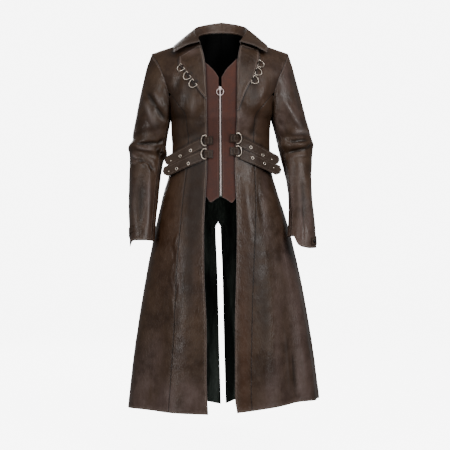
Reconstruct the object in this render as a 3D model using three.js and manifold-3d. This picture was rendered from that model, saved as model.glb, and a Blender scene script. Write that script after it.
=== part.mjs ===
// A long leather trench coat, open in front over a sewn-in waistcoat, filled out as if worn.
// Millimetres, +Z up, the wearer faces -Y and the wearer's left arm is at +X.
// The origin is between the collar points at the base of the neck, where the shoulders carry it.
import * as THREE from 'three';
import { mergeVertices } from 'three/addons/utils/BufferGeometryUtils.js';
import Module from 'manifold-3d';

const wasm = await Module();
wasm.setup();

// ---------- driving dimensions ----------
const LEATHER = 1.8; // wall of the shell panels
const LINING = 1.0; // wall of the black back lining
const WAISTCOAT = 1.6; // wall of the waistcoat fronts
const COLLAR = 1.8; // wall of the folded collar
const LAPEL = 2.0; // wall of the turned-back lapels
const STRAP = 1.8; // wall of the waist straps
const SEAM = 0.3; // clearance between pieces that are sewn together
const ARMPIT_Z = -265; // height at which the armholes close
const FLUTE_TOP = -430; // the skirt's flutes start below the waist
const FLUTE_FULL = -1130; // and are fully formed near the hem
const ROUNDNESS = 2.4; // exponent of the body's superelliptical sections
const VENT_TOP = -600; // the centre-back vent opens from here to the hem
const VENT_GAP = 17; // width of the open vent
const PRINCESS_TOP = 0.42; // share of the armhole's height at which the princess seam meets it
const BACK_NECK_SHARE = 1 / 3; // share of a back panel's top edge that is neckline
const LINING_HEM = 42; // the lining stops this far above the hem
const SLEEVE_EASE = 0.45; // share of a sleeve over which the armhole's shape eases into a tube
const SLEEVE_ROWS = [
  0, 0.05, 0.12, 0.2, 0.27, 0.33, 0.38, 0.43, 0.48, 0.53, 0.6, 0.68, 0.77, 0.86, 0.94, 1,
];
const FORE_SEAM = 0.24; // armhole heights at which the sleeve's two long seams start
const REAR_SEAM = 0.56;
const BACK_COLUMNS = 9;
const SKIRT_LENGTH = 935; // from the armpits to the hem
const SIDE_POINT = 0.92; // how far the side front's point reaches along the armhole
const COLLAR_END = 0.91; // place on the roll line where the collar's front end is sewn
const ZIP = { top: -166, foot: -519, topX: -4, footX: -2, half: 4.4, raise: 1.1, depth: 1.2 };
const SLIDER = { half: 4, height: 11, face: 1.9, plate: 2, bridge: 2.4, hole: 1.5 };
const PULL = { radius: 11.2, thick: 1.15 };
const BAR_CLEAR = 4.2; // the pull's bar stops this far below the hinge, clear of the bridge
const WIRE_SIDES = 6;
const STRAP_WIDTH = 33.5;
const STRAP_POINT = { length: 0.12, blunt: 0.45 }; // shares of a strap's length and width at its point
const STRAP_LIFT = 1.5; // a strap's root stands this far off the coat
const WAISTCOAT_DEPTH = 1.8; // how far the waistcoat lies behind the inside of the fronts
const RING_WIRE = 1.6; // radius of the wire of the waist rings
const SMALL_WIRE = 1.25; // radius of the wire of the lapel rings
const RING_PLAY = 0.35; // a band's hole is this much larger than the wire in it
const BAND = 1.2; // wall of the leather bands round the rings
const STUD_RADIUS = 7;
const CUFF_STRAP = {
  right: { high: 0.915, low: 0.955, stud: 1.2 },
  left: { high: 0.945, low: 0.985, stud: 0.88 },
  thick: 1.6,
  lift: 0.6,
};

// Half-widths, depths and centre-back drift of the body below the armpits.
const BODY = [
  { z: -265, right: 167.5, left: 163.5, front: 126, back: 113, side: 5, centre: -3 },
  { z: -310, right: 165, left: 160, front: 118, back: 104, side: 5, centre: -5 },
  { z: -350, right: 163, left: 160, front: 112, back: 99, side: 5, centre: -7 },
  { z: -400, right: 166, left: 163, front: 115, back: 104, side: 6, centre: -8 },
  { z: -455, right: 176, left: 170, front: 123, back: 117, side: 7, centre: -10 },
  { z: -495, right: 188, left: 182, front: 130, back: 129, side: 8, centre: -11 },
  { z: -600, right: 213, left: 216, front: 146, back: 151, side: 8, centre: -12 },
  { z: -772, right: 247, left: 259, front: 168, back: 181, side: 8, centre: -6 },
  { z: -1023, right: 287, left: 304, front: 198, back: 214, side: 8, centre: 0 },
  { z: -1240, right: 311, left: 331, front: 219, back: 238, side: 8, centre: 6 },
];

// Distance of each front edge from the middle, below the armpits.
const FRONT_EDGE = [
  { z: -265, right: 46.5, left: 49.5 },
  { z: -330, right: 46, left: 46 },
  { z: -430, right: 46, left: 43.5 },
  { z: -522, right: 51, left: 47.5 },
  { z: -626, right: 55, left: 49.5 },
  { z: -772, right: 53.5, left: 47 },
  { z: -922, right: 46.5, left: 43 },
  { z: -1158, right: 43.5, left: 43 },
  { z: -1190, right: 41.5, left: 48 },
  { z: -1240, right: 39, left: 56 },
];

// Height of the hem from the front edge (turn 0) past the side (0.5) to centre back (1).
const HEM = [
  { turn: 0, right: -1205, left: -1200 },
  { turn: 0.16, right: -1201, left: -1181 },
  { turn: 0.3, right: -1199, left: -1173 },
  { turn: 0.5, right: -1206, left: -1180 },
  { turn: 0.75, right: -1221, left: -1205 },
  { turn: 0.96, right: -1223, left: -1208 },
  { turn: 1, right: -1233, left: -1231 },
];

// The front edge above the armpit: the lapel's roll line, then the side of the neck.
const ROLL_LINE = [
  { v: 0.3, right: 48, left: 50, y: -121, z: -190 },
  { v: 0.55, right: 51, left: 51, y: -107, z: -125 },
  { v: 0.76, right: 55, left: 53, y: -84, z: -72 },
  { v: 0.9, right: 67, left: 61, y: -44, z: -24 },
];
const NECK_POINT = { right: 77, left: 71, y: 6, z: 8 };
const SHOULDER_TIP = { right: 231, left: 221, y: 2, z: -45 };

const ARMHOLE_FRONT = [
  { v: 0.12, x: 166, y: -31, z: -250 },
  { v: 0.3, x: 167, y: -56, z: -207 },
  { v: 0.55, x: 182, y: -60, z: -146 },
  { v: 0.8, x: 206, y: -38, z: -86 },
];
const ARMHOLE_BACK = [
  { v: 0.12, x: 169, y: 40, z: -251 },
  { v: 0.3, x: 175, y: 63, z: -209 },
  { v: 0.55, x: 190, y: 62, z: -146 },
  { v: 0.8, x: 209, y: 40, z: -86 },
];
const CENTRE_BACK = [
  { v: 0.3, y: 119, z: -175 },
  { v: 0.6, y: 113, z: -82 },
  { v: 0.85, y: 95, z: -6 },
];
const NAPE = { x: -2, y: 82, z: 33 };

// Soft flutes of the skirt: turn is 0 at the front middle, 0.5 at the side, 1 at the back middle.
const FLUTES = [
  { side: -1, turn: 0.13, width: 0.06, depth: 6 },
  { side: -1, turn: 0.25, width: 0.07, depth: -8 },
  { side: -1, turn: 0.37, width: 0.06, depth: 9 },
  { side: -1, turn: 0.6, width: 0.06, depth: -9 },
  { side: -1, turn: 0.71, width: 0.055, depth: 13 },
  { side: -1, turn: 0.84, width: 0.06, depth: -11 },
  { side: 1, turn: 0.15, width: 0.055, depth: 7 },
  { side: 1, turn: 0.25, width: 0.05, depth: -9 },
  { side: 1, turn: 0.34, width: 0.05, depth: 11 },
  { side: 1, turn: 0.43, width: 0.045, depth: -7 },
  { side: 1, turn: 0.62, width: 0.06, depth: -10 },
  { side: 1, turn: 0.74, width: 0.055, depth: 12 },
  { side: 1, turn: 0.86, width: 0.06, depth: -10 },
];

// Sleeve sections: outer and inner edge seen from the front, and the front and back of the tube.
const SLEEVE = {
  right: [
    { z: -45, outer: 232, inner: 164, front: -32, back: 36 },
    { z: -79, outer: 246, inner: 163, front: -48, back: 54 },
    { z: -139, outer: 261, inner: 163, front: -62, back: 68 },
    { z: -215, outer: 276, inner: 165, front: -66, back: 72 },
    { z: -265, outer: 285, inner: 169, front: -62, back: 72 },
    { z: -310, outer: 294, inner: 178, front: -56, back: 72 },
    { z: -355, outer: 304, inner: 184, front: -50, back: 70 },
    { z: -400, outer: 303, inner: 192, front: -56, back: 60 },
    { z: -455, outer: 304, inner: 200, front: -72, back: 42 },
    { z: -530, outer: 304, inner: 206, front: -99, back: 12 },
    { z: -600, outer: 300, inner: 212, front: -122, back: -15 },
    { z: -690, outer: 295, inner: 217, front: -146, back: -42 },
  ],
  left: [
    { z: -45, outer: 222, inner: 162, front: -32, back: 36 },
    { z: -79, outer: 234, inner: 161, front: -48, back: 54 },
    { z: -139, outer: 249, inner: 161, front: -62, back: 68 },
    { z: -215, outer: 269, inner: 162, front: -66, back: 72 },
    { z: -265, outer: 281, inner: 166, front: -62, back: 72 },
    { z: -310, outer: 295, inner: 178, front: -56, back: 72 },
    { z: -355, outer: 302, inner: 188, front: -50, back: 70 },
    { z: -400, outer: 300, inner: 197, front: -56, back: 60 },
    { z: -455, outer: 296, inner: 211, front: -72, back: 42 },
    { z: -530, outer: 297, inner: 218, front: -106, back: 4 },
    { z: -600, outer: 302, inner: 216, front: -138, back: -29 },
    { z: -690, outer: 306, inner: 207, front: -168, back: -62 },
  ],
};

// Height of the cuff's edge round the sleeve: turn 0 faces the body, 0.5 is the outer side.
const CUFF = [
  { turn: 0, right: -664, left: -650 },
  { turn: 0.14, right: -660, left: -645 },
  { turn: 0.2, right: -659, left: -670 },
  { turn: 0.3, right: -659, left: -682 },
  { turn: 0.42, right: -665, left: -683 },
  { turn: 0.5, right: -680, left: -682 },
  { turn: 0.58, right: -664, left: -676 },
  { turn: 0.85, right: -660, left: -647 },
  { turn: 1, right: -664, left: -650 },
];

// Elbow folds: ridges (+) and troughs (-) across the sleeve; round and lean are in turns.
const ELBOW_FOLDS = [
  { side: -1, round: 0.42, z: -322, spread: 0.2, rise: 14, lean: -90, depth: -6 },
  { side: -1, round: 0.4, z: -352, spread: 0.22, rise: 14, lean: -60, depth: 6 },
  { side: -1, round: 0.2, z: -382, spread: 0.2, rise: 13, lean: 70, depth: -6 },
  { side: -1, round: 0.06, z: -376, spread: 0.12, rise: 15, lean: 0, depth: 9 },
  { side: 1, round: 0.25, z: -318, spread: 0.2, rise: 13, lean: 40, depth: -6 },
  { side: 1, round: 0.3, z: -348, spread: 0.24, rise: 13, lean: 25, depth: 6 },
  { side: 1, round: 0.22, z: -382, spread: 0.2, rise: 14, lean: -40, depth: -5 },
];

// Outer edge of each lapel, from the break (along 0) to the top corner (along 1).
const LAPEL_EDGE = {
  right: [
    { along: 0, x: 52, z: -204 },
    { along: 0.2, x: 77, z: -172 },
    { along: 0.45, x: 99, z: -139 },
    { along: 0.65, x: 118, z: -112 },
    { along: 0.85, x: 137, z: -85 },
    { along: 1, x: 136, z: -63 },
  ],
  left: [
    { along: 0, x: 53.5, z: -242 },
    { along: 0.3, x: 84, z: -166 },
    { along: 0.5, x: 101, z: -140 },
    { along: 0.7, x: 114, z: -100 },
    { along: 0.87, x: 122, z: -60 },
    { along: 1, x: 119, z: -38 },
  ],
};
const LAPEL_TOP = { right: -23, left: -24 }; // height of its top edge at the roll line
const LAPEL_LIFT = [
  { w: 0, lift: 0.7 },
  { w: 0.08, lift: 3.4 },
  { w: 0.25, lift: 4.2 },
  { w: 0.55, lift: 2.6 },
  { w: 1, lift: 1.1 },
];

// The collar from centre back (0) to its front end (1): neck seam, roll and outer edge.
const COLLAR_ROLL = [
  { along: 0, right: 0, left: 0, y: 91, z: 73 },
  { along: 0.3, right: 60, left: 60, y: 76, z: 61 },
  { along: 0.55, right: 88, left: 84, y: 34, z: 43 },
  { along: 0.78, right: 84, left: 75, y: -12, z: 14 },
  { along: 1, right: 73, left: 62, y: -45, z: -8 },
];
const COLLAR_EDGE = [
  { along: 0, right: 0, left: 0, y: 134, z: -20 },
  { along: 0.3, right: 96, left: 94, y: 108, z: -24 },
  { along: 0.55, right: 146, left: 142, y: 40, z: -10 },
  { along: 0.78, right: 158, left: 152, y: -14, z: -22 },
  { along: 1, right: 156, left: 148, y: -61, z: -47 },
];

// Cut of each waistcoat front from the zip outwards: its pointed foot and its V neck.
const WAISTCOAT_CUT = {
  right: [
    { x: -7, foot: -521, top: -137 },
    { x: -18, foot: -527, top: -119 },
    { x: -34, foot: -538, top: -101 },
    { x: -50, foot: -518, top: -86 },
    { x: -66, foot: -512, top: -76 },
  ],
  left: [
    { x: 1, foot: -521, top: -134 },
    { x: 16, foot: -528, top: -108 },
    { x: 34, foot: -539, top: -89 },
    { x: 50, foot: -518, top: -72 },
    { x: 66, foot: -512, top: -70 },
  ],
};

// Waist straps: where each starts at its ring and where its point ends, seen from the front.
const STRAPS = [
  { name: 'upper_right', side: -1, x0: 60, z0: -345, x1: 181, z1: -407, lift: 1.5 },
  { name: 'lower_right', side: -1, x0: 60, z0: -386, x1: 186, z1: -441, lift: 4.6 },
  { name: 'upper_left', side: 1, x0: 62, z0: -341, x1: 186, z1: -404, lift: 1.5 },
  { name: 'lower_left', side: 1, x0: 62, z0: -381, x1: 190, z1: -437, lift: 5.2 },
];
// Distance of the princess seams from the middle.
const PRINCESS = [
  { z: -265, right: 114, left: 109 },
  { z: -350, right: 107, left: 104 },
  { z: -530, right: 124, left: 111 },
  { z: -658, right: 135, left: 106 },
  { z: -798, right: 144, left: 100 },
  { z: -967, right: 150, left: 95 },
  { z: -1240, right: 168, left: 93 },
];
const STRAP_LEAVES_AT = 118; // past this width a strap runs straight on, clear of the side
// How far below its bar each tab's tail is sewn to the waistcoat.
const WAIST_RINGS = [
  { name: 'upper_right', side: -1, x: 49, z: -338, drop: 3.4 },
  { name: 'lower_right', side: -1, x: 49, z: -382, drop: 5.2 },
  { name: 'upper_left', side: 1, x: 49, z: -331, drop: 3.6 },
  { name: 'lower_left', side: 1, x: 49, z: -373, drop: 4.6 },
];
const WAIST_RING = { height: 34, bulge: 15, rise: 6.3 };
const WAIST_TAB = { width: 27, length: 22 };

// Lapel rings: where each leather loop sits on the lapel's edge, and its bar's height off the front.
const LAPEL_RINGS = [
  { name: 'top_right', side: -1, x: 123, z: -99, swing: -38, rise: 6.3 },
  { name: 'middle_right', side: -1, x: 103, z: -127, swing: -38, rise: 6.5 },
  { name: 'bottom_right', side: -1, x: 84.5, z: -153, swing: -38, rise: 7.1 },
  { name: 'top_left', side: 1, x: 118, z: -88, swing: -22, rise: 5.9 },
  { name: 'middle_left', side: 1, x: 110, z: -114, swing: -24, rise: 5.8 },
  { name: 'bottom_left', side: 1, x: 99, z: -142, swing: -26, rise: 6.3 },
];
const LAPEL_RING = { height: 27, bulge: 21 };
const LAPEL_LOOP = { width: 10, length: 11 };
const RING_DROOP = 9; // degrees by which a ring's bow leans back onto the leather

// ---------- small helpers ----------
const vec = (x, y, z) => new THREE.Vector3(x, y, z);
const lerp = (a, b, t) => a + (b - a) * t;
const clamp = (t, low, high) => Math.min(high, Math.max(low, t));
const smooth = (t) => clamp(t, 0, 1) ** 2 * (3 - 2 * clamp(t, 0, 1));
const sideName = (side) => (side < 0 ? 'right' : 'left');

// A smooth curve through one column of a table, read at a place in its key column.
function read(table, key, column, at) {
  const rising = table[table.length - 1][key] > table[0][key];
  const rows = rising ? table : [...table].reverse();
  const last = rows.length - 1;
  const t = clamp(at, rows[0][key], rows[last][key]);
  let i = 0;
  while (i < last - 1 && t > rows[i + 1][key]) i += 1;
  const gap = (k) => rows[k + 1][key] - rows[k][key];
  const rise = (k) => (rows[k + 1][column] - rows[k][column]) / gap(k);
  const tangent = (k) => {
    if (k === 0) return rise(0);
    if (k === last) return rise(last - 1);
    if (rise(k - 1) * rise(k) <= 0) return 0;
    return (rise(k - 1) * gap(k) + rise(k) * gap(k - 1)) / (gap(k) + gap(k - 1));
  };
  const w = (t - rows[i][key]) / gap(i);
  const a = rows[i][column];
  const b = rows[i + 1][column];
  const bend = (tangent(i) * (1 - w) - tangent(i + 1) * w) * gap(i);
  return lerp(a, b, w * w * (3 - 2 * w)) + w * (1 - w) * bend;
}

function evenly(from, to, steps) {
  return Array.from({ length: steps + 1 }, (_, i) => lerp(from, to, i / steps));
}

// The outward unit normal of a surface point(a, b), worked out from its neighbours.
function normalOf(point, a, b, flip) {
  const e = 1e-3;
  const across = point(a + e, b).sub(point(a - e, b));
  const along = point(a, b + e).sub(point(a, b - e));
  return across.cross(along).normalize().multiplyScalar(flip);
}

// ---------- the body's surface ----------
// turn runs from 0 at the front middle through 0.5 at the side to 1 at the back middle.
function section(side, turn, z) {
  const angle = turn * Math.PI;
  const power = 2 / ROUNDNESS;
  const wide = Math.abs(Math.sin(angle)) ** power;
  const deep = Math.abs(Math.cos(angle)) ** power;
  const half = side * read(BODY, 'z', sideName(side), z);
  const centre = turn > 0.5 ? read(BODY, 'z', 'centre', z) : 0;
  const middle = read(BODY, 'z', 'side', z);
  const front = -read(BODY, 'z', 'front', z) - middle;
  const back = read(BODY, 'z', 'back', z) - middle;
  const x = centre + (half - centre) * wide;
  const y = middle + (turn > 0.5 ? back : front) * deep;
  let flute = 0;
  for (const f of FLUTES) {
    if (f.side === side) flute += f.depth * Math.exp(-(((turn - f.turn) / f.width) ** 2));
  }
  flute *= smooth((FLUTE_TOP - z) / (FLUTE_TOP - FLUTE_FULL));
  return vec(x + side * Math.sin(angle) * flute, y - Math.cos(angle) * flute, z);
}

function frontTurn(side, z) {
  const edge = read(FRONT_EDGE, 'z', sideName(side), z);
  const half = read(BODY, 'z', sideName(side), z);
  return Math.asin((edge / half) ** (ROUNDNESS / 2)) / Math.PI;
}

function backTurn(side, z) {
  const centre = read(BODY, 'z', 'centre', z);
  const half = side * read(BODY, 'z', sideName(side), z);
  const gap = z < VENT_TOP ? VENT_GAP / 2 : SEAM / 2;
  return 1 - Math.asin((gap / Math.abs(half - centre)) ** (ROUNDNESS / 2)) / Math.PI;
}

const hemAt = (side, turn) => read(HEM, 'turn', sideName(side), turn);

// Edge curves above the armpit.
function rollLine(side, v) {
  const foot = section(side, frontTurn(side, ARMPIT_Z), ARMPIT_Z);
  const rows = [
    { v: 0, x: foot.x, y: foot.y, z: foot.z },
    ...ROLL_LINE.map((r) => ({ ...r, x: side * r[sideName(side)] })),
    { v: 1, x: side * NECK_POINT[sideName(side)], y: NECK_POINT.y, z: NECK_POINT.z },
  ];
  return vec(read(rows, 'v', 'x', v), read(rows, 'v', 'y', v), read(rows, 'v', 'z', v));
}

function armhole(side, table, v) {
  const foot = section(side, 0.5, ARMPIT_Z);
  const tip = SHOULDER_TIP;
  const rows = [
    { v: 0, x: foot.x, y: foot.y, z: foot.z },
    ...table.map((r) => ({ ...r, x: side * r.x })),
    { v: 1, x: side * tip[sideName(side)], y: tip.y, z: tip.z },
  ];
  return vec(read(rows, 'v', 'x', v), read(rows, 'v', 'y', v), read(rows, 'v', 'z', v));
}

function shoulderSeam(side, share) {
  const tip = SHOULDER_TIP;
  return vec(
    side * lerp(NECK_POINT[sideName(side)], tip[sideName(side)], share),
    lerp(NECK_POINT.y, tip.y, share),
    lerp(NECK_POINT.z, tip.z, share),
  );
}

function centreBack(side, v) {
  const foot = section(side, 1, ARMPIT_Z);
  const rows = [
    { v: 0, y: foot.y, z: foot.z },
    ...CENTRE_BACK,
    { v: 1, y: NAPE.y, z: NAPE.z },
  ];
  const x = lerp(foot.x, NAPE.x, v) + (side * SEAM) / 2;
  return vec(x, read(rows, 'v', 'y', v), read(rows, 'v', 'z', v));
}

// The back neckline, then the shoulder seam.
function backTop(side, u) {
  if (u >= BACK_NECK_SHARE) {
    return shoulderSeam(side, (u - BACK_NECK_SHARE) / (1 - BACK_NECK_SHARE));
  }
  const angle = (u / BACK_NECK_SHARE) * (Math.PI / 2);
  const x = lerp(NAPE.x + (side * SEAM) / 2, side * NECK_POINT[sideName(side)], Math.sin(angle));
  const drop = 1 - Math.cos(angle);
  return vec(x, lerp(NAPE.y, NECK_POINT.y, drop), lerp(NAPE.z, NECK_POINT.z, drop));
}

// A four-sided patch between the body's section at the armpit and a top edge.
function patch(u, v, foot, top, inner, outer) {
  const rise = smooth(v);
  const point = foot(u).multiplyScalar(1 - rise).addScaledVector(top(u), rise);
  const corner = (a, b) => a.multiplyScalar(1 - u).addScaledVector(b, u);
  point.addScaledVector(corner(inner(v), outer(v)), 1);
  point.addScaledVector(corner(foot(0), foot(1)), rise - 1);
  point.addScaledVector(corner(top(0), top(1)), -rise);
  return point;
}

// A front: u from its front edge to the side, v from the hem (-1) past the armpit (0) to the
// shoulder seam (1).
function front(side, u, v) {
  if (v > 0) {
    const foot = (a) => section(side, lerp(frontTurn(side, ARMPIT_Z), 0.5, a), ARMPIT_Z);
    const top = (a) => shoulderSeam(side, a);
    return patch(u, v, foot, top, (t) => rollLine(side, t), (t) => armhole(side, ARMHOLE_FRONT, t));
  }
  const hem = hemAt(side, lerp(0, 0.5, clamp(u, 0, 1)));
  const z = lerp(ARMPIT_Z, hem, -v);
  return section(side, lerp(frontTurn(side, z), 0.5, u), z);
}

// A back: u from the centre back to the side, v as on a front.
function back(side, u, v) {
  if (v > 0) {
    const foot = (a) => section(side, lerp(backTurn(side, ARMPIT_Z), 0.5, a), ARMPIT_Z);
    const top = (a) => backTop(side, a);
    return patch(u, v, foot, top, (t) => centreBack(side, t), (t) => armhole(side, ARMHOLE_BACK, t));
  }
  const hem = hemAt(side, lerp(1, 0.5, clamp(u, 0, 1)));
  const z = lerp(ARMPIT_Z, hem, -v);
  return section(side, lerp(backTurn(side, z), 0.5, u), z);
}

// Outward normals; along the shoulder seam both panels share one, so their edges meet.
function shoulderNormal(side) {
  const run = shoulderSeam(side, 1).sub(shoulderSeam(side, 0));
  return vec(-run.z * side, 0, run.x * side).normalize();
}

function frontNormal(side, u, v) {
  if (v > 1 - 1e-6) return shoulderNormal(side);
  const safe = Math.abs(v) < 2e-3 ? -2e-3 : v;
  return normalOf((a, b) => front(side, a, b), u, safe, side);
}

function backNormal(side, u, v) {
  if (v > 1 - 1e-6 && u > BACK_NECK_SHARE - 1e-6) return shoulderNormal(side);
  const safe = Math.abs(v) < 2e-3 ? -2e-3 : Math.min(v, 1 - 2e-3);
  return normalOf((a, b) => back(side, a, b), u, safe, -side);
}

// ---------- sleeves ----------
// Angle round the sleeve, in degrees from the side facing the body, for a height of the armhole.
const AROUND = [
  { v: 0, angle: 0 },
  { v: 0.12, angle: 18 },
  { v: 0.24, angle: 36 },
  { v: 0.42, angle: 62 },
  { v: 0.56, angle: 86 },
  { v: 0.7, angle: 108 },
  { v: 0.82, angle: 130 },
  { v: 0.92, angle: 154 },
  { v: 1, angle: 180 },
];

// The armhole as one loop: round is 0 at the armpit, 1 at the shoulder tip and 2 at the armpit.
function armholeLoop(side, round) {
  return round <= 1 ? front(side, 1, round) : back(side, 1, 2 - round);
}

// round as above; down is 0 at the armhole and 1 at the cuff.
function sleeve(side, round, down) {
  const q = (round + 2) % 2;
  const v = q <= 1 ? q : 2 - q;
  const fore = q <= 1 ? -1 : 1;
  const degrees = read(AROUND, 'v', 'angle', v);
  const angle = THREE.MathUtils.degToRad(degrees);
  const turn = fore < 0 ? degrees / 360 : 1 - degrees / 360;
  const start = armholeLoop(side, q);
  const table = SLEEVE[sideName(side)];
  const ring = (z) => {
    const outer = read(table, 'z', 'outer', z);
    const inner = read(table, 'z', 'inner', z);
    const foreY = read(table, 'z', 'front', z);
    const rearY = read(table, 'z', 'back', z);
    const x = (outer + inner) / 2 - ((outer - inner) / 2) * Math.cos(angle);
    const y = (foreY + rearY) / 2 + fore * ((rearY - foreY) / 2) * Math.sin(angle);
    return vec(side * x, y, z);
  };
  const z = lerp(start.z, read(CUFF, 'turn', sideName(side), turn), down);
  const point = ring(z);
  const fit = start.clone().sub(ring(start.z));
  point.addScaledVector(fit, 1 - smooth(down / SLEEVE_EASE));
  let fold = 0;
  for (const f of ELBOW_FOLDS) {
    const away = Math.abs(turn - f.round);
    const around = Math.min(away, 1 - away);
    const height = (z - f.z - f.lean * (turn - f.round)) / f.rise;
    if (f.side === side) fold += f.depth * Math.exp(-((around / f.spread) ** 2) - height ** 2);
  }
  const outwards = vec(-side * Math.cos(angle), fore * Math.sin(angle), 0);
  return point.addScaledVector(outwards, fold);
}

function sleeveNormal(side, round, down) {
  return normalOf((a, b) => sleeve(side, a, b), round, Math.max(down, 2e-3), -side);
}

// Where a sleeve starts: beside the armhole's edge, its wall turned clear of the body's.
function sleeveHead(side, round) {
  const e = 1e-3;
  const edge = armholeLoop(side, round);
  const ahead = armholeLoop(side, Math.min(round + e, 2));
  const along = ahead.sub(armholeLoop(side, Math.max(round - e, 0))).normalize();
  const shell = round <= 1 ? frontNormal(side, 1, round) : backNormal(side, 1, 2 - round);
  const into = along.cross(shell).normalize().multiplyScalar(side);
  const wall = shell.clone().add(sleeveNormal(side, round, 2e-3)).negate();
  const clash = Math.min(0, wall.dot(into));
  wall.addScaledVector(into, -clash).normalize();
  const outer = edge.addScaledVector(into, SEAM);
  return { outer, inner: outer.clone().addScaledVector(wall, LEATHER) };
}

// ---------- solids ----------
// A closed wall between two grids of points, with its rims.
function wall(outer, inner) {
  const rows = outer.length;
  const cols = outer[0].length;
  const points = [...outer.flat(), ...inner.flat()];
  const at = (layer, i, j) => layer * rows * cols + i * cols + j;
  const faces = [];
  const quad = (a, b, c, d) => faces.push(a, b, c, a, c, d);
  for (let i = 0; i < rows - 1; i += 1) {
    for (let j = 0; j < cols - 1; j += 1) {
      quad(at(0, i, j), at(0, i, j + 1), at(0, i + 1, j + 1), at(0, i + 1, j));
      quad(at(1, i, j), at(1, i + 1, j), at(1, i + 1, j + 1), at(1, i, j + 1));
    }
  }
  for (let j = 0; j < cols - 1; j += 1) {
    quad(at(0, 0, j), at(1, 0, j), at(1, 0, j + 1), at(0, 0, j + 1));
    const last = rows - 1;
    quad(at(0, last, j), at(0, last, j + 1), at(1, last, j + 1), at(1, last, j));
  }
  for (let i = 0; i < rows - 1; i += 1) {
    quad(at(0, i, 0), at(0, i + 1, 0), at(1, i + 1, 0), at(1, i, 0));
    const last = cols - 1;
    quad(at(0, i, last), at(1, i, last), at(1, i + 1, last), at(0, i + 1, last));
  }
  return solid(points, faces);
}

function solid(points, faces) {
  let volume = 0;
  for (let i = 0; i < faces.length; i += 3) {
    const [a, b, c] = [points[faces[i]], points[faces[i + 1]], points[faces[i + 2]]];
    volume += a.dot(b.clone().cross(c));
  }
  const index = volume > 0 ? faces : faces.slice().reverse();
  const geometry = new THREE.BufferGeometry();
  const numbers = points.flatMap((p) => [p.x, p.y, p.z]);
  geometry.setAttribute('position', new THREE.Float32BufferAttribute(numbers, 3));
  geometry.setIndex(index);
  geometry.computeVertexNormals();
  return geometry;
}

// A grid of points and the wall behind it. span(v) gives the first and last u of a row.
function sheet(surface, normal, rows, cols, span, thick, trim = {}) {
  const outer = [];
  const inner = [];
  for (const v of rows) {
    const [from, to] = span(v);
    const us = evenly(from, to, cols);
    const line = us.map((u) => surface(u, v));
    const shift = (end, next) => line[next].clone().sub(line[end]).normalize();
    const first = shift(0, 1).multiplyScalar(trim.first ? SEAM / 2 : 0);
    const last = shift(cols, cols - 1).multiplyScalar(trim.last?.(v) ? SEAM / 2 : 0);
    line[0].add(first);
    line[cols].add(last);
    outer.push(line);
    inner.push(line.map((p, j) => p.clone().addScaledVector(normal(us[j], v), -thick)));
  }
  return { outer, inner };
}

// Pulls the last row of a panel back from the seam above it.
function trimTop(grid) {
  const top = grid.outer.length - 1;
  grid.outer[top].forEach((p, j) => {
    const step = grid.outer[top - 1][j].clone().sub(p).normalize().multiplyScalar(SEAM / 2);
    p.add(step);
    grid.inner[top][j].add(step);
  });
}

// ---------- places on the fronts ----------
// The point of a front seen at (x, z) from the front, moved out by lift, with its normal.
function onFront(side, x, z, lift = 0) {
  const wide = Math.abs(x);
  const half = read(BODY, 'z', sideName(side), z);
  let u = clamp((wide - 46) / (half - 46), 0, 0.9) * 0.8;
  let v = z > ARMPIT_Z ? (z - ARMPIT_Z) / -ARMPIT_Z : (z - ARMPIT_Z) / SKIRT_LENGTH;
  for (let i = 0; i < 12; i += 1) {
    const e = 1e-4;
    const p = front(side, u, v);
    const du = front(side, u + e, v).sub(p).divideScalar(e);
    const dv = front(side, u, v + e).sub(p).divideScalar(e);
    const missX = x - p.x;
    const missZ = z - p.z;
    const scale = du.x * dv.z - dv.x * du.z;
    u += clamp((missX * dv.z - dv.x * missZ) / scale, -0.2, 0.2);
    v += clamp((du.x * missZ - missX * du.z) / scale, -0.2, 0.2);
    if (Math.abs(missX) + Math.abs(missZ) < 1e-4) break;
  }
  const normal = frontNormal(side, u, Math.min(v, 1 - 1e-3));
  const point = front(side, u, v).addScaledVector(normal, lift);
  return { point, normal, u, v };
}

// Distance of the open edge or the roll line from the middle at a height.
function edgeAt(side, z) {
  if (z <= ARMPIT_Z) return read(FRONT_EDGE, 'z', sideName(side), z);
  let low = 0;
  let high = 1;
  for (let i = 0; i < 24; i += 1) {
    const middle = (low + high) / 2;
    if (rollLine(side, middle).z < z) low = middle;
    else high = middle;
  }
  return Math.abs(rollLine(side, low).x);
}

// ---------- pieces of the shell ----------
const BELOW = [-1, -0.9, -0.79, -0.68, -0.57, -0.46, -0.362, -0.346, -0.27, -0.2, -0.145, -0.09, -0.045];
const ABOVE = AROUND.map((row) => row.v);
const ALL_ROWS = [...BELOW, ...ABOVE];

function princessAt(side, v) {
  const z = lerp(ARMPIT_Z, hemAt(side, 0.2), -Math.min(v, 0));
  const half = read(BODY, 'z', sideName(side), z);
  const turn = Math.asin((read(PRINCESS, 'z', sideName(side), z) / half) ** (ROUNDNESS / 2)) / Math.PI;
  const start = frontTurn(side, z);
  const u = (turn - start) / (0.5 - start);
  if (v <= 0) return u;
  return lerp(u, 1, Math.min(1, v / PRINCESS_TOP) ** 1.6);
}

function centreFront(side) {
  const surface = (u, v) => front(side, u, v);
  const normal = (u, v) => frontNormal(side, u, v);
  const span = (v) => [0, princessAt(side, v)];
  const trim = { last: (v) => v < PRINCESS_TOP };
  const grid = sheet(surface, normal, ALL_ROWS, 5, span, LEATHER, trim);
  trimTop(grid);
  return wall(grid.outer, grid.inner);
}

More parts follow.
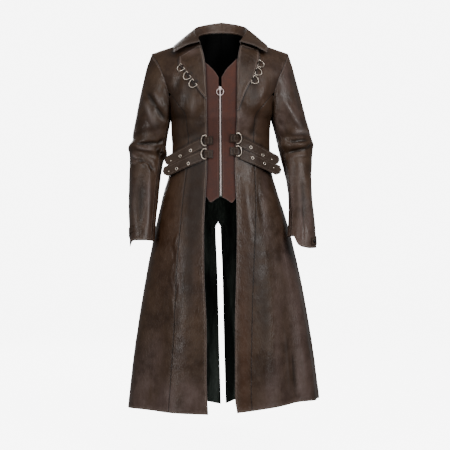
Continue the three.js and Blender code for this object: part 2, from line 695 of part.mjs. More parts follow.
function sideFront(side) {
  const surface = (u, v) => front(side, u, v);
  const normal = (u, v) => frontNormal(side, u, v);
  const rows = ALL_ROWS.filter((v) => v < PRINCESS_TOP - 1e-6);
  const span = (v) => [princessAt(side, v), 1];
  const trim = { first: true, last: (v) => v < 0 };
  const grid = sheet(surface, normal, rows, 5, span, LEATHER, trim);
  // The narrow point that runs up between the princess seam and the armhole.
  const last = rows.length - 1;
  const tip = front(side, 1, rows[last]).lerp(front(side, 1, PRINCESS_TOP), SIDE_POINT);
  const tipNormal = frontNormal(side, 1, PRINCESS_TOP);
  const tipInner = tip.clone().addScaledVector(tipNormal, -LEATHER);
  grid.outer.push(grid.outer[last].map((p) => p.clone().lerp(tip, SIDE_POINT)));
  grid.inner.push(grid.inner[last].map((p) => p.clone().lerp(tipInner, SIDE_POINT)));
  return wall(grid.outer, grid.inner);
}

function backPanel(side) {
  const surface = (u, v) => back(side, u, v);
  const normal = (u, v) => backNormal(side, u, v);
  const trim = { last: (v) => v < 0 };
  const grid = sheet(surface, normal, ALL_ROWS, BACK_COLUMNS, () => [0, 1], LEATHER, trim);
  const top = grid.outer.length - 1;
  grid.outer[top].forEach((p, j) => {
    if (j / BACK_COLUMNS < BACK_NECK_SHARE - 1e-6) return;
    const step = grid.outer[top - 1][j].clone().sub(p).normalize().multiplyScalar(SEAM / 2);
    p.add(step);
    grid.inner[top][j].add(step);
  });
  return wall(grid.outer, grid.inner);
}

// The lining lies just inside the back and stops short of its edges.
function liningPanel(side) {
  const surface = (u, v) => back(side, u, v).addScaledVector(backNormal(side, u, v), -LEATHER - SEAM);
  const normal = (u, v) => backNormal(side, u, v);
  const grid = sheet(surface, normal, ALL_ROWS, BACK_COLUMNS, () => [0, 1], LINING);
  const last = ALL_ROWS.length - 1;
  for (const points of [grid.outer, grid.inner]) {
    const shorten = (row, next, share) => row.forEach((p, j) => p.lerp(next[j], share));
    shorten(points[0], points[1], LINING_HEM / (SKIRT_LENGTH * 0.1));
    shorten(points[last], points[last - 1], 0.12);
    for (const row of points) {
      row[0].lerp(row[1], 0.08);
      row[BACK_COLUMNS].lerp(row[BACK_COLUMNS - 1], 0.2);
    }
  }
  return wall(grid.outer, grid.inner);
}

function sleevePiece(side, rounds) {
  const outer = [];
  const inner = [];
  for (const down of SLEEVE_ROWS) {
    const line = rounds.map((q) => {
      if (down === 0) return sleeveHead(side, ((q % 2) + 2) % 2);
      const point = sleeve(side, q, down);
      return { outer: point, inner: point.clone().addScaledVector(sleeveNormal(side, q, down), -LEATHER) };
    });
    // The two long seams keep their clearance.
    const part = (end, next) => {
      const step = line[next].outer.clone().sub(line[end].outer).normalize().multiplyScalar(SEAM / 2);
      line[end].outer.add(step);
      line[end].inner.add(step);
    };
    part(0, 1);
    part(line.length - 1, line.length - 2);
    outer.push(line.map((p) => p.outer));
    inner.push(line.map((p) => p.inner));
  }
  return wall(outer, inner);
}

function upperSleeve(side) {
  const fore = ABOVE.filter((v) => v >= FORE_SEAM - 1e-6);
  const rear = ABOVE.filter((v) => v >= REAR_SEAM - 1e-6 && v < 1).reverse();
  return sleevePiece(side, [...fore, ...rear.map((v) => 2 - v)]);
}

function underSleeve(side) {
  const rear = ABOVE.filter((v) => v <= REAR_SEAM + 1e-6 && v > 0).reverse();
  const fore = ABOVE.filter((v) => v <= FORE_SEAM + 1e-6);
  return sleevePiece(side, [...rear.map((v) => -v), ...fore]);
}

// ---------- collar and lapels ----------
function lapel(side) {
  const key = sideName(side);
  const edge = LAPEL_EDGE[key];
  const foot = edge[0].z;
  const outer = [];
  const inner = [];
  for (const along of [0, 0.1, 0.2, 0.32, 0.45, 0.58, 0.7, 0.82, 0.92, 1]) {
    const rollZ = lerp(foot, LAPEL_TOP[key], along);
    const rollX = edgeAt(side, rollZ) - 0.6;
    const rimX = read(edge, 'along', 'x', along);
    const rimZ = read(edge, 'along', 'z', along);
    const opening = lerp(0.4, 1, Math.min(1, along / 0.2));
    const line = LAPEL_LIFT.map((row) => {
      const x = side * lerp(rollX, rimX, row.w);
      const spot = onFront(side, x, lerp(rollZ, rimZ, row.w), row.lift * opening);
      return { low: spot.point, high: spot.point.clone().addScaledVector(spot.normal, LAPEL) };
    });
    outer.push(line.map((p) => p.high));
    inner.push(line.map((p) => p.low));
  }
  return wall(outer, inner);
}

function neckSeam(side, along) {
  if (along <= 0.5) return backTop(side, (along / 0.5) * BACK_NECK_SHARE);
  return rollLine(side, lerp(1, COLLAR_END, (along - 0.5) / 0.5));
}

// One section of the folded collar, from its seam over the roll to its outer edge.
function collarSection(side, along) {
  const key = sideName(side);
  const seam = neckSeam(side, along);
  const roll = vec(
    side * read(COLLAR_ROLL, 'along', key, along),
    read(COLLAR_ROLL, 'along', 'y', along),
    read(COLLAR_ROLL, 'along', 'z', along),
  );
  const rim = vec(
    side * read(COLLAR_EDGE, 'along', key, along),
    read(COLLAR_EDGE, 'along', 'y', along),
    read(COLLAR_EDGE, 'along', 'z', along),
  );
  const out = vec(rim.x - roll.x, rim.y - roll.y, 0).normalize();
  const up = vec(0, 0, 1);
  const base = seam.addScaledVector(up, 1.6).addScaledVector(out, -0.5);
  const over = roll.clone().addScaledVector(out, 4.4).addScaledVector(up, -3.2);
  const points = [
    base,
    base.clone().lerp(roll, 0.55).addScaledVector(out, -1),
    roll.clone().addScaledVector(out, -3).addScaledVector(up, -4),
    roll,
    over,
    over.clone().lerp(rim, 0.4).addScaledVector(up, 5),
    over.clone().lerp(rim, 0.75).addScaledVector(up, 3.5),
    rim,
  ];
  return new THREE.CatmullRomCurve3(points, false, 'centripetal');
}

function collarPoint(side, along, across) {
  return collarSection(side, along).getPoint(across);
}

function collar() {
  const places = [1, 0.94, 0.86, 0.76, 0.66, 0.55, 0.45, 0.34, 0.23, 0.12];
  const across = [0, 0.16, 0.29, 0.36, 0.4286, 0.5, 0.5714, 0.71, 0.86, 1];
  const outer = [];
  const inner = [];
  const addLine = (side, along) => {
    const line = across.map((t) => collarPoint(side, along, t));
    const e = 1e-3;
    outer.push(line);
    inner.push(line.map((p, j) => {
      const t = clamp(across[j], e, 1 - e);
      const a = clamp(along, e, 1 - e);
      const wide = collarPoint(side, a, t + e).sub(collarPoint(side, a, t - e));
      const long = collarPoint(side, a + e, t).sub(collarPoint(side, a - e, t));
      const normal = wide.cross(long).normalize().multiplyScalar(-side);
      if (along === 0) normal.x = 0;
      return p.clone().addScaledVector(normal.normalize(), -COLLAR);
    }));
  };
  places.forEach((along) => addLine(-1, along));
  addLine(-1, 0);
  [...places].reverse().forEach((along) => addLine(1, along));
  return wall(outer, inner);
}

// ---------- waistcoat and zip ----------
// A point of the waistcoat: behind the fronts, and one smooth curve across the opening.
function waistcoatPoint(side, x, z, lift = 0) {
  const behind = lift - LEATHER - WAISTCOAT_DEPTH;
  const edge = edgeAt(side, z) + 1;
  const wide = side * x;
  if (wide >= edge) return onFront(side, x, z, behind).point;
  const at = onFront(side, side * edge, z, behind).point;
  const next = onFront(side, side * (edge + 3), z, behind).point;
  const slope = (next.y - at.y) / (Math.abs(next.x) - Math.abs(at.x));
  const y = at.y - ((slope * edge) / 2) * (1 - (wide / edge) ** 2);
  return vec(x, y, z);
}

function waistcoatFront(side) {
  const key = sideName(side);
  const outer = [];
  const inner = [];
  for (const v of evenly(0, 1, 11)) {
    const line = WAISTCOAT_CUT[key].map((cut) => {
      const z = lerp(cut.foot, cut.top, v);
      const x = cut === WAISTCOAT_CUT[key][0] ? zipX(z) + side * ZIP.half : cut.x;
      const low = waistcoatPoint(side, x, z, -WAISTCOAT);
      const high = waistcoatPoint(side, x, z);
      return { low, high };
    });
    outer.push(line.map((p) => p.high));
    inner.push(line.map((p) => p.low));
  }
  return wall(outer, inner);
}

const zipX = (z) => lerp(ZIP.topX, ZIP.footX, (ZIP.top - z) / (ZIP.top - ZIP.foot));

// The face of the waistcoat beside the zip, averaged from both fronts.
function zipFace(z) {
  const right = waistcoatPoint(-1, zipX(z) - ZIP.half, z);
  const left = waistcoatPoint(1, zipX(z) + ZIP.half, z);
  return vec(zipX(z), (right.y + left.y) / 2, z);
}

function zip() {
  const outer = [];
  const inner = [];
  for (const z of evenly(ZIP.foot, ZIP.top, 9)) {
    const face = zipFace(z);
    const spots = [-1, -0.45, 0.45, 1].map((k) => face.clone().add(vec(k * (ZIP.half - SEAM), 0, 0)));
    spots[1].y -= ZIP.raise;
    spots[2].y -= ZIP.raise;
    outer.push(spots);
    inner.push(spots.map((p) => vec(p.x, face.y + ZIP.depth, p.z)));
  }
  return wall(outer, inner);
}

// ---------- straps, loops, rings ----------
// Placed on a front: out runs away from the middle, off stands off the leather, bar runs up.
function frameOn(side, x, z, lift, swing = 0) {
  const spot = onFront(side, side * x, z, lift);
  const aside = onFront(side, side * (x + 2), z, lift).point.sub(spot.point).normalize();
  const out = aside.applyAxisAngle(spot.normal, THREE.MathUtils.degToRad(swing) * side);
  out.addScaledVector(spot.normal, -out.dot(spot.normal)).normalize();
  const bar = spot.normal.clone().cross(out).multiplyScalar(side).normalize();
  return { origin: spot.point, out, off: spot.normal, bar };
}

function place(frame, a, b, c) {
  return frame.origin.clone().addScaledVector(frame.out, a)
    .addScaledVector(frame.off, b).addScaledVector(frame.bar, c);
}

// A round wire bent along a flat closed path of (a, c) pairs in a frame.
function wire(frame, path, radius, lean = 0) {
  const points = [];
  const count = path.length;
  const tilt = THREE.MathUtils.degToRad(lean);
  for (let i = 0; i < count; i += 1) {
    const [a, c] = path[i];
    const before = path[(i + count - 1) % count];
    const after = path[(i + 1) % count];
    const unit = (p, q) => new THREE.Vector2(q[0] - p[0], q[1] - p[1]).normalize();
    const along = unit(before, path[i]).add(unit(path[i], after)).normalize();
    for (let k = 0; k < WIRE_SIDES; k += 1) {
      const angle = ((k + 0.5) / WIRE_SIDES) * 2 * Math.PI;
      const side = radius * Math.cos(angle);
      const flatA = a + along.y * side;
      const flatC = c - along.x * side;
      const rise = radius * Math.sin(angle);
      const leanA = flatA * Math.cos(tilt) + rise * Math.sin(tilt);
      const leanB = rise * Math.cos(tilt) - flatA * Math.sin(tilt);
      points.push(place(frame, leanA, leanB, flatC));
    }
  }
  const faces = [];
  for (let i = 0; i < count; i += 1) {
    for (let k = 0; k < WIRE_SIDES; k += 1) {
      const a = i * WIRE_SIDES + k;
      const b = i * WIRE_SIDES + ((k + 1) % WIRE_SIDES);
      const c = ((i + 1) % count) * WIRE_SIDES + ((k + 1) % WIRE_SIDES);
      const d = ((i + 1) % count) * WIRE_SIDES + k;
      faces.push(a, b, c, a, c, d);
    }
  }
  return solid(points, faces);
}

// The path of a D ring: a straight bar on the frame's axis and a bow away from it.
function dPath(height, bulge) {
  const path = [[0, -height / 2], [0, height / 2]];
  for (const degrees of evenly(18, 162, 7)) {
    const angle = THREE.MathUtils.degToRad(degrees);
    path.push([bulge * Math.sin(angle) ** 0.8, (height / 2) * Math.cos(angle)]);
  }
  return path;
}

// A leather band that wraps a bar, its tail sewn down beside it.
function band(frame, hole, width, length, drop) {
  const thick = BAND;
  const round = hole + thick;
  const shape = new THREE.Shape();
  shape.moveTo(0, -round);
  const end = Math.PI + Math.asin((round - thick) / round);
  for (const angle of evenly(-Math.PI / 2, end, 9).slice(1)) {
    shape.lineTo(round * Math.cos(angle), round * Math.sin(angle));
  }
  if (drop > 0) {
    shape.lineTo(-5.4, thick - round);
    shape.lineTo(-8.8, thick - round - drop);
    shape.lineTo(-length, thick - round - drop);
    shape.lineTo(-length, -round - drop);
    shape.lineTo(-8.2, -round - drop);
    shape.lineTo(-4.8, -round);
  } else {
    shape.lineTo(-length, thick - round);
    shape.lineTo(-length, -round);
  }
  shape.closePath();
  const inside = new THREE.Path();
  evenly(0, 2 * Math.PI, 8).slice(0, -1).forEach((angle, i) => {
    const [x, y] = [hole * Math.cos(angle), hole * Math.sin(angle)];
    if (i === 0) inside.moveTo(x, y);
    else inside.lineTo(x, y);
  });
  shape.holes.push(inside);
  const flat = new THREE.ExtrudeGeometry(shape, { depth: width, bevelEnabled: false });
  const merged = mergeVertices(new THREE.BufferGeometry().setAttribute('position', flat.attributes.position));
  const places = merged.attributes.position;
  const points = [];
  for (let i = 0; i < places.count; i += 1) {
    points.push(place(frame, places.getX(i), places.getY(i), places.getZ(i) - width / 2));
  }
  return solid(points, [...merged.index.array]);
}

function strap(row) {
  const { side } = row;
  const length = Math.hypot(row.x1 - row.x0, row.z1 - row.z0);
  const runX = (row.x1 - row.x0) / length;
  const runZ = (row.z1 - row.z0) / length;
  const outer = [];
  const inner = [];
  for (const s of [0, 0.1, 0.22, 0.34, 0.46, 0.58, 0.7, 0.8, 0.88, 1]) {
    const half = (STRAP_WIDTH / 2) * Math.min(1, (1 - s) / STRAP_POINT.length + STRAP_POINT.blunt);
    const lift = lerp(STRAP_LIFT, row.lift, smooth((s - 0.1) / 0.25));
    const line = [-1, 0, 1].map((k) => {
      const x = row.x0 + runX * length * s - runZ * half * k;
      const z = row.z0 + runZ * length * s + runX * half * k;
      const spot = onFront(side, side * Math.min(x, STRAP_LEAVES_AT), z, lift);
      const onward = Math.max(0, x - STRAP_LEAVES_AT);
      const ahead = vec(side * Math.abs(spot.normal.y), side * spot.normal.x * Math.sign(-spot.normal.y), 0);
      const low = spot.point.addScaledVector(ahead, onward / Math.abs(ahead.x));
      return { low, high: low.clone().addScaledVector(spot.normal, STRAP) };
    });
    outer.push(line.map((p) => p.high));
    inner.push(line.map((p) => p.low));
  }
  return wall(outer, inner);
}

// ---------- zip slider and its pull ----------
function toManifold(geometry) {
  const plain = new THREE.BufferGeometry();
  plain.setAttribute('position', geometry.attributes.position);
  plain.setIndex(geometry.index);
  const merged = mergeVertices(plain);
  const vertProperties = merged.attributes.position.array;
  const triVerts = new Uint32Array(merged.index.array);
  return new wasm.Manifold(new wasm.Mesh({ numProp: 3, vertProperties, triVerts }));
}

function fromManifold(body) {
  const { vertProperties, triVerts } = body.getMesh();
  const geometry = new THREE.BufferGeometry();
  geometry.setAttribute('position', new THREE.Float32BufferAttribute(vertProperties, 3));
  geometry.setIndex([...triVerts]);
  geometry.computeVertexNormals();
  return geometry;
}

function zipHead() {
  const face = zipFace(ZIP.top - SLIDER.height / 2);
  return { origin: face, out: vec(1, 0, 0), off: vec(0, -1, 0), bar: vec(0, 0, 1) };
}

function box(frame, low, high) {
  const points = [];
  for (const c of [low[2], high[2]]) {
    for (const [a, b] of [[low[0], low[1]], [high[0], low[1]], [high[0], high[1]], [low[0], high[1]]]) {
      points.push(place(frame, a, b, c));
    }
  }
  const sides = [0, 1, 2, 3].flatMap((i) => {
    const j = (i + 1) % 4;
    return [i, j, j + 4, i, j + 4, i + 4];
  });
  return solid(points, [0, 2, 1, 0, 3, 2, 4, 5, 6, 4, 6, 7, ...sides]);
}

// The slider: a plate over the teeth with a bridge that the pull's ring passes through.
function slider() {
  const frame = zipHead();
  const { half, height, face, plate, bridge, hole } = SLIDER;
  const base = toManifold(box(frame, [-half, face, -height / 2], [half, face + plate, height / 2]));
  const top = face + plate;
  const arch = toManifold(box(frame, [-1.4, top - 0.4, -bridge], [1.4, top + bridge * 1.5, bridge]));
  const pin = new THREE.CylinderGeometry(hole, hole, 8, 10).rotateZ(Math.PI / 2);
  const centre = place(frame, 0, top + hole + 0.35, 0);
  const drilled = arch.subtract(toManifold(pin.translate(centre.x, centre.y, centre.z)));
  return fromManifold(base.add(drilled));
}

// The pull: a round ring with a bar down its middle, hung by its top in the bridge.
function zipPull() {
  const { face, plate, hole } = SLIDER;
  const { radius, thick } = PULL;
  const head = zipHead();
  const frame = { ...head, origin: place(head, 0, face + plate + hole + 0.35, 0) };
  const path = evenly(0, 2 * Math.PI, 20).slice(0, -1)
    .map((t) => [radius * Math.sin(t), radius * Math.cos(t) - radius]);
  const ring = wire(frame, path, thick);
  const bar = box(frame, [-1, -0.9, -2 * radius + 0.3], [1, 0.9, -BAR_CLEAR]);
  return fromManifold(toManifold(ring).add(toManifold(bar)));
}

// ---------- cuffs ----------
function cuffStrap(side) {
  const { high, low: foot } = CUFF_STRAP[sideName(side)];
  const outer = [];
  const inner = [];
  for (const round of [0.8, 0.88, 0.94, 1, 1.08, 1.18, 1.3]) {
    const line = [high, foot].map((down) => {
      const normal = sleeveNormal(side, round, down);
      const low = sleeve(side, round, down).addScaledVector(normal, CUFF_STRAP.lift);
      return { low, high: low.clone().addScaledVector(normal, CUFF_STRAP.thick) };
    });
    outer.push(line.map((p) => p.high));
    inner.push(line.map((p) => p.low));
  }
  return wall(outer, inner);
}

function cuffStud(side) {
  const { high, low, stud: round } = CUFF_STRAP[sideName(side)];
  const down = (high + low) / 2;
  const normal = sleeveNormal(side, round, down);
  const centre = sleeve(side, round, down).addScaledVector(normal, CUFF_STRAP.lift + CUFF_STRAP.thick + 0.5);
  const profile = [[0, 0], [STUD_RADIUS, 0], [STUD_RADIUS, 1.6], [STUD_RADIUS * 0.7, 3.4], [0, 4]];
  const cap = new THREE.LatheGeometry(profile.map(([x, y]) => new THREE.Vector2(x, y)), 12);
  const turn = new THREE.Quaternion().setFromUnitVectors(vec(0, 1, 0), normal);
  return cap.applyQuaternion(turn).translate(centre.x, centre.y, centre.z);
}

// ---------- the coat ----------
const MATERIALS = {
  leather: new THREE.MeshStandardMaterial({ color: 0x44362d, roughness: 0.5, metalness: 0 }),
  strap: new THREE.MeshStandardMaterial({ color: 0x4b3b33, roughness: 0.52, metalness: 0 }),
  waistcoat: new THREE.MeshStandardMaterial({ color: 0x48302a, roughness: 0.72, metalness: 0 }),
  lining: new THREE.MeshStandardMaterial({ color: 0x0c0c0d, roughness: 0.6, metalness: 0 }),
  metal: new THREE.MeshStandardMaterial({ color: 0xa49a90, roughness: 0.34, metalness: 1 }),
  stud: new THREE.MeshStandardMaterial({ color: 0x15110f, roughness: 0.35, metalness: 0.4 }),
};

const coat = new THREE.Group();
coat.name = 'trench_coat';

function addPiece(name, geometry, material) {
  const mesh = new THREE.Mesh(geometry, MATERIALS[material]);
  mesh.name = name;
  coat.add(mesh);
}

for (const side of [-1, 1]) {
  const hand = sideName(side);
  addPiece(`centre_front_${hand}`, centreFront(side), 'leather');
  addPiece(`side_front_${hand}`, sideFront(side), 'leather');
  addPiece(`back_${hand}`, backPanel(side), 'leather');
  addPiece(`lining_${hand}`, liningPanel(side), 'lining');
  addPiece(`upper_sleeve_${hand}`, upperSleeve(side), 'leather');
  addPiece(`under_sleeve_${hand}`, underSleeve(side), 'leather');
  addPiece(`lapel_${hand}`, lapel(side), 'leather');
  addPiece(`waistcoat_${hand}`, waistcoatFront(side), 'waistcoat');
  addPiece(`cuff_strap_${hand}`, cuffStrap(side), 'strap');
  addPiece(`cuff_stud_${hand}`, cuffStud(side), 'stud');
}
addPiece('collar', collar(), 'leather');
addPiece('zip', zip(), 'metal');
addPiece('zip_slider', slider(), 'metal');
addPiece('zip_pull', zipPull(), 'metal');

for (const row of STRAPS) {
  addPiece(`waist_strap_${row.name}`, strap(row), 'strap');
}
for (const row of WAIST_RINGS) {
  const frame = frameOn(row.side, row.x, row.z, WAIST_RING.rise);
  const ring = wire(frame, dPath(WAIST_RING.height, WAIST_RING.bulge), RING_WIRE);
  addPiece(`waist_ring_${row.name}`, ring, 'metal');
  const tab = band(frame, RING_WIRE + RING_PLAY, WAIST_TAB.width, WAIST_TAB.length, row.drop);
  addPiece(`waist_tab_${row.name}`, tab, 'strap');
}
for (const row of LAPEL_RINGS) {
  const frame = frameOn(row.side, row.x, row.z, row.rise, row.swing);
  const ring = wire(frame, dPath(LAPEL_RING.height, LAPEL_RING.bulge), SMALL_WIRE, RING_DROOP);
  addPiece(`lapel_ring_${row.name}`, ring, 'metal');
  const loop = band(frame, SMALL_WIRE + RING_PLAY, LAPEL_LOOP.width, LAPEL_LOOP.length, 0);
  addPiece(`lapel_loop_${row.name}`, loop, 'strap');
}

export default coat;
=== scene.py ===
from math import pi, radians

import bpy
import numpy as np
from bpy.props import FloatProperty, FloatVectorProperty, PointerProperty
from mathutils import Matrix, Vector


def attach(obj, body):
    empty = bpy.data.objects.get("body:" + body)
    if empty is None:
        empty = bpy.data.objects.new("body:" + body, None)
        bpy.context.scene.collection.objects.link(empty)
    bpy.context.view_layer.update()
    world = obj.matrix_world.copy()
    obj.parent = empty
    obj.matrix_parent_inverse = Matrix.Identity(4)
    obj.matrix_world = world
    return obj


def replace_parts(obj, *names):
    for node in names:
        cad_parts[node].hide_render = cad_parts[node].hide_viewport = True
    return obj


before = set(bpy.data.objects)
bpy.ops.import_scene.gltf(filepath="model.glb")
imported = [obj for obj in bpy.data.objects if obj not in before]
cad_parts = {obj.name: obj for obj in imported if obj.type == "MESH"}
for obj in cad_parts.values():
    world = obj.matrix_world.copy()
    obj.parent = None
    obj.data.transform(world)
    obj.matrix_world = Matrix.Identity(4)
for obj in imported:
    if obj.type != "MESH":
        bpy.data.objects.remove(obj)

bl_info = {
    "name": "Leather Trench Coat",
    "version": (1, 0, 0),
    "blender": (4, 5, 0),
    "location": "View3D > Sidebar > Coat",
    "description": "Builds a long leather trench coat, open over a zipped waistcoat, panel by panel",
    "category": "Add Mesh",
}

# Millimetres, +Z up, the wearer faces -Y. A side is -1 for the wearer's right and 1 for the left.
MM = 0.001


def table(names, *rows):
    """Named columns from short rows."""
    return dict(zip(names.split(), np.array(rows, float).T))


# ---------- the cut: body ----------
ARMPIT_Z = -265.0  # the armholes close here
FLUTE_TOP, FLUTE_FULL = -430.0, -1130.0  # the skirt's flutes start, and are fully formed
ROUNDNESS = 2.4  # exponent of the body's sections
VENT_TOP, VENT_GAP, VENT_TAPER = -600.0, 17.0, 15  # the slit at centre back
PRINCESS_TOP = 0.42  # where the princess seam meets the armhole
BACK_NECK_SHARE = 1 / 3
SIDE_POINT = 0.92  # how far up the armhole the side front reaches
MIDDLE_GAP = 0.15  # half the seam at centre back
SKIRT_DROP, SHOULDER_RISE = 935, 330  # from the armpit down to the hem, and up to the shoulder
SEAM_LAP = 0.1  # how far a panel is drawn over or back from its seam
BODY_CREASE_GAIN, SLEEVE_CREASE_GAIN, FOLD_SCALE = 1.3, 1.8, 4
SHADE_REACH, SHADE_BEHIND = 4.5, 40  # contact shade: its reach, and the depth where it ends
FAR = 1e3
BODY = table(
    "z right left front back side centre",
    (-265, 167.5, 163.5, 126, 113, 5, -3),
    (-310, 165, 160, 118, 104, 5, -5),
    (-350, 163, 160, 112, 99, 5, -7),
    (-400, 166, 163, 115, 104, 6, -8),
    (-455, 176, 170, 123, 117, 7, -10),
    (-495, 188, 182, 130, 129, 8, -11),
    (-600, 213, 216, 146, 151, 8, -12),
    (-772, 247, 259, 168, 181, 8, -6),
    (-1023, 287, 304, 198, 214, 8, 0),
    (-1240, 311, 331, 219, 238, 8, 6),
)
FRONT_EDGE = table(
    "z right left",
    (-265, 46.5, 49.5), (-330, 46, 46), (-430, 46, 43.5), (-522, 51, 47.5), (-626, 55, 49.5),
    (-772, 53.5, 47), (-922, 46.5, 43), (-1158, 43.5, 43), (-1190, 41.5, 48), (-1240, 39, 56),
)
HEM = table(
    "turn right left",
    (0, -1205, -1200), (0.16, -1201, -1181), (0.3, -1199, -1173),
    (0.5, -1206, -1180), (0.75, -1221, -1205), (0.96, -1223, -1208), (1, -1233, -1231),
)
ROLL_LINE = table(
    "v right left y z",
    (0.3, 48, 50, -121, -190), (0.55, 51, 51, -107, -125),
    (0.76, 55, 53, -84, -72), (0.9, 67, 61, -44, -24),
)
NECK_POINT = {"right": (77, 6, 8), "left": (71, 6, 8)}
SHOULDER_TIP = {"right": (231, 2, -45), "left": (221, 2, -45)}
NAPE = (-2, 82, 33)
ARMHOLE_FRONT = table(
    "v x y z", (0.12, 166, -31, -250), (0.3, 167, -56, -207), (0.55, 182, -60, -146), (0.8, 206, -38, -86)
)
ARMHOLE_BACK = table(
    "v x y z", (0.12, 169, 40, -251), (0.3, 175, 63, -209), (0.55, 190, 62, -146), (0.8, 209, 40, -86)
)
CENTRE_BACK = table("v y z", (0.3, 119, -175), (0.6, 113, -82), (0.85, 95, -6))
PRINCESS = table(
    "z right left",
    (-265, 114, 109), (-350, 107, 104), (-530, 124, 111), (-658, 135, 106),
    (-798, 144, 100), (-967, 150, 95), (-1240, 168, 93),
)
# Soft flutes of the skirt: turn is 0 at the front middle, 0.5 at the side, 1 at the back middle.
# Each row: side, turn, width, depth.
FLUTES = (
    (-1, 0.13, 0.06, 6), (-1, 0.25, 0.07, -8), (-1, 0.37, 0.06, 9),
    (-1, 0.6, 0.06, -9), (-1, 0.71, 0.055, 13), (-1, 0.84, 0.06, -11),
    (1, 0.15, 0.055, 7), (1, 0.25, 0.05, -9), (1, 0.34, 0.05, 11), (1, 0.43, 0.045, -7),
    (1, 0.62, 0.06, -10), (1, 0.74, 0.055, 12), (1, 0.86, 0.06, -10),
)

# ---------- the cut: sleeves ----------
SLEEVE_EASE, FORE_SEAM, REAR_SEAM, SLEEVE_PATH = 0.45, 0.24, 0.56, 1150
SLEEVE = {
    "right": table(
        "z outer inner front back",
        (-45, 232, 164, -32, 36), (-79, 246, 163, -48, 54), (-139, 261, 163, -62, 68),
        (-215, 276, 165, -66, 72), (-265, 285, 169, -62, 72), (-310, 294, 178, -56, 72),
        (-355, 304, 184, -50, 70), (-400, 303, 192, -56, 60), (-455, 304, 200, -72, 42),
        (-530, 304, 206, -99, 12), (-600, 300, 212, -122, -15), (-690, 295, 217, -146, -42),
    ),
    "left": table(
        "z outer inner front back",
        (-45, 222, 162, -32, 36), (-79, 234, 161, -48, 54), (-139, 249, 161, -62, 68),
        (-215, 269, 162, -66, 72), (-265, 281, 166, -62, 72), (-310, 295, 178, -56, 72),
        (-355, 302, 188, -50, 70), (-400, 300, 197, -56, 60), (-455, 296, 211, -72, 42),
        (-530, 297, 218, -106, 4), (-600, 302, 216, -138, -29), (-690, 306, 207, -168, -62),
    ),
}
CUFF = table(
    "turn right left",
    (0, -664, -650), (0.14, -660, -645), (0.2, -659, -670), (0.3, -659, -682), (0.42, -665, -683),
    (0.5, -680, -682), (0.58, -664, -676), (0.85, -660, -647), (1, -664, -650),
)
CUFF_STRAPS = {"right": (0.915, 0.955, 1.2), "left": (0.945, 0.985, 0.88)}  # top, foot, where its stud sits
# Folds of the elbows: side, place round the sleeve, z, spread, rise, lean, depth.
ELBOW_FOLDS = (
    (-1, 0.42, -322, 0.2, 14, -90, -6), (-1, 0.4, -352, 0.22, 14, -60, 6),
    (-1, 0.2, -382, 0.2, 13, 70, -6), (-1, 0.06, -376, 0.12, 15, 0, 9),
    (1, 0.25, -318, 0.2, 13, 40, -6), (1, 0.3, -348, 0.24, 13, 25, 6),
    (1, 0.22, -382, 0.2, 14, -40, -5),
)
AROUND = table(
    "v angle",
    (0, 0), (0.12, 18), (0.24, 36), (0.42, 62), (0.56, 86), (0.7, 108), (0.82, 130), (0.92, 154), (1, 180),
)

# ---------- the cut: lapels, collar, waistcoat, straps ----------
LAPEL_EDGE = {
    "right": table(
        "along x z",
        (0, 52, -204), (0.2, 77, -172), (0.45, 99, -139), (0.65, 118, -112), (0.85, 137, -85), (1, 136, -63),
    ),
    "left": table(
        "along x z",
        (0, 53.5, -242), (0.3, 84, -166), (0.5, 101, -140), (0.7, 114, -100), (0.87, 122, -60), (1, 119, -38),
    ),
}
LAPEL_TOP = {"right": -23, "left": -24}
LAPEL_LIFT = table("w lift", (0, 0.7), (0.08, 3.4), (0.25, 4.2), (0.55, 3.2), (1, 2.7))
COLLAR_END = 0.91
COLLAR_ROLL = table(
    "along right left y z",
    (0, 0, 0, 91, 73), (0.3, 60, 60, 76, 61), (0.55, 88, 84, 34, 43),
    (0.78, 84, 75, -12, 14), (1, 73, 62, -45, -8),
)
COLLAR_EDGE = table(
    "along right left y z",
    (0, 0, 0, 134, -20), (0.3, 96, 94, 108, -24), (0.55, 146, 142, 40, -10),
    (0.78, 158, 152, -14, -22), (1, 156, 148, -61, -47),
)
WAISTCOAT_CUT = {
    "right": table(
        "x foot top",
        (-66, -512, -76), (-50, -518, -86), (-34, -538, -101), (-18, -527, -119), (-7, -521, -137),
    ),
    "left": table(
        "x foot top",
        (1, -521, -134), (16, -528, -108), (34, -539, -89), (50, -518, -72), (66, -512, -70),
    ),
}
WAISTCOAT_DEPTH = 1.8
LINING_GAP, LINING_PLAY = 0.7, 1.1  # the lining behind the back: its gap, and room for its folds
ZIP_TOP, ZIP_FOOT, ZIP_TOP_X, ZIP_FOOT_X, ZIP_HALF = -166.0, -519.0, -4.0, -2.0, 4.4
STRAP_WIDTH, STRAP_LIFT, STRAP_LEAVES_AT = 33.5, 1.5, 118.0
STRAP_TIP, STRAP_POINT = 0.12, 0.4  # length of the tip, and how wide its very end is
STRAPS = {
    "upper_right": (-1, 60, -345, 181, -407, 1.5),
    "lower_right": (-1, 60, -386, 186, -441, 4.6),
    "upper_left": (1, 62, -341, 186, -404, 1.5),
    "lower_left": (1, 62, -381, 190, -437, 5.2),
}
EYELETS = {
    "upper_right": ((98.4, -370), (131.7, -387)),
    "lower_right": ((104, -412.6), (142, -429)),
    "upper_left": ((93.6, -360), (132.7, -384.2)),
    "lower_left": ((98.4, -395), (136, -411.7)),
}
RIVETS = {
    "upper_right": (163, -402), "lower_right": (168, -437),
    "upper_left": (163, -397), "lower_left": (166.5, -425),
}
WAIST_RINGS = {
    "upper_right": (-1, 49, -338, 3.4), "lower_right": (-1, 49, -382, 5.2),
    "upper_left": (1, 49, -331, 3.6), "lower_left": (1, 49, -373, 4.6),
}
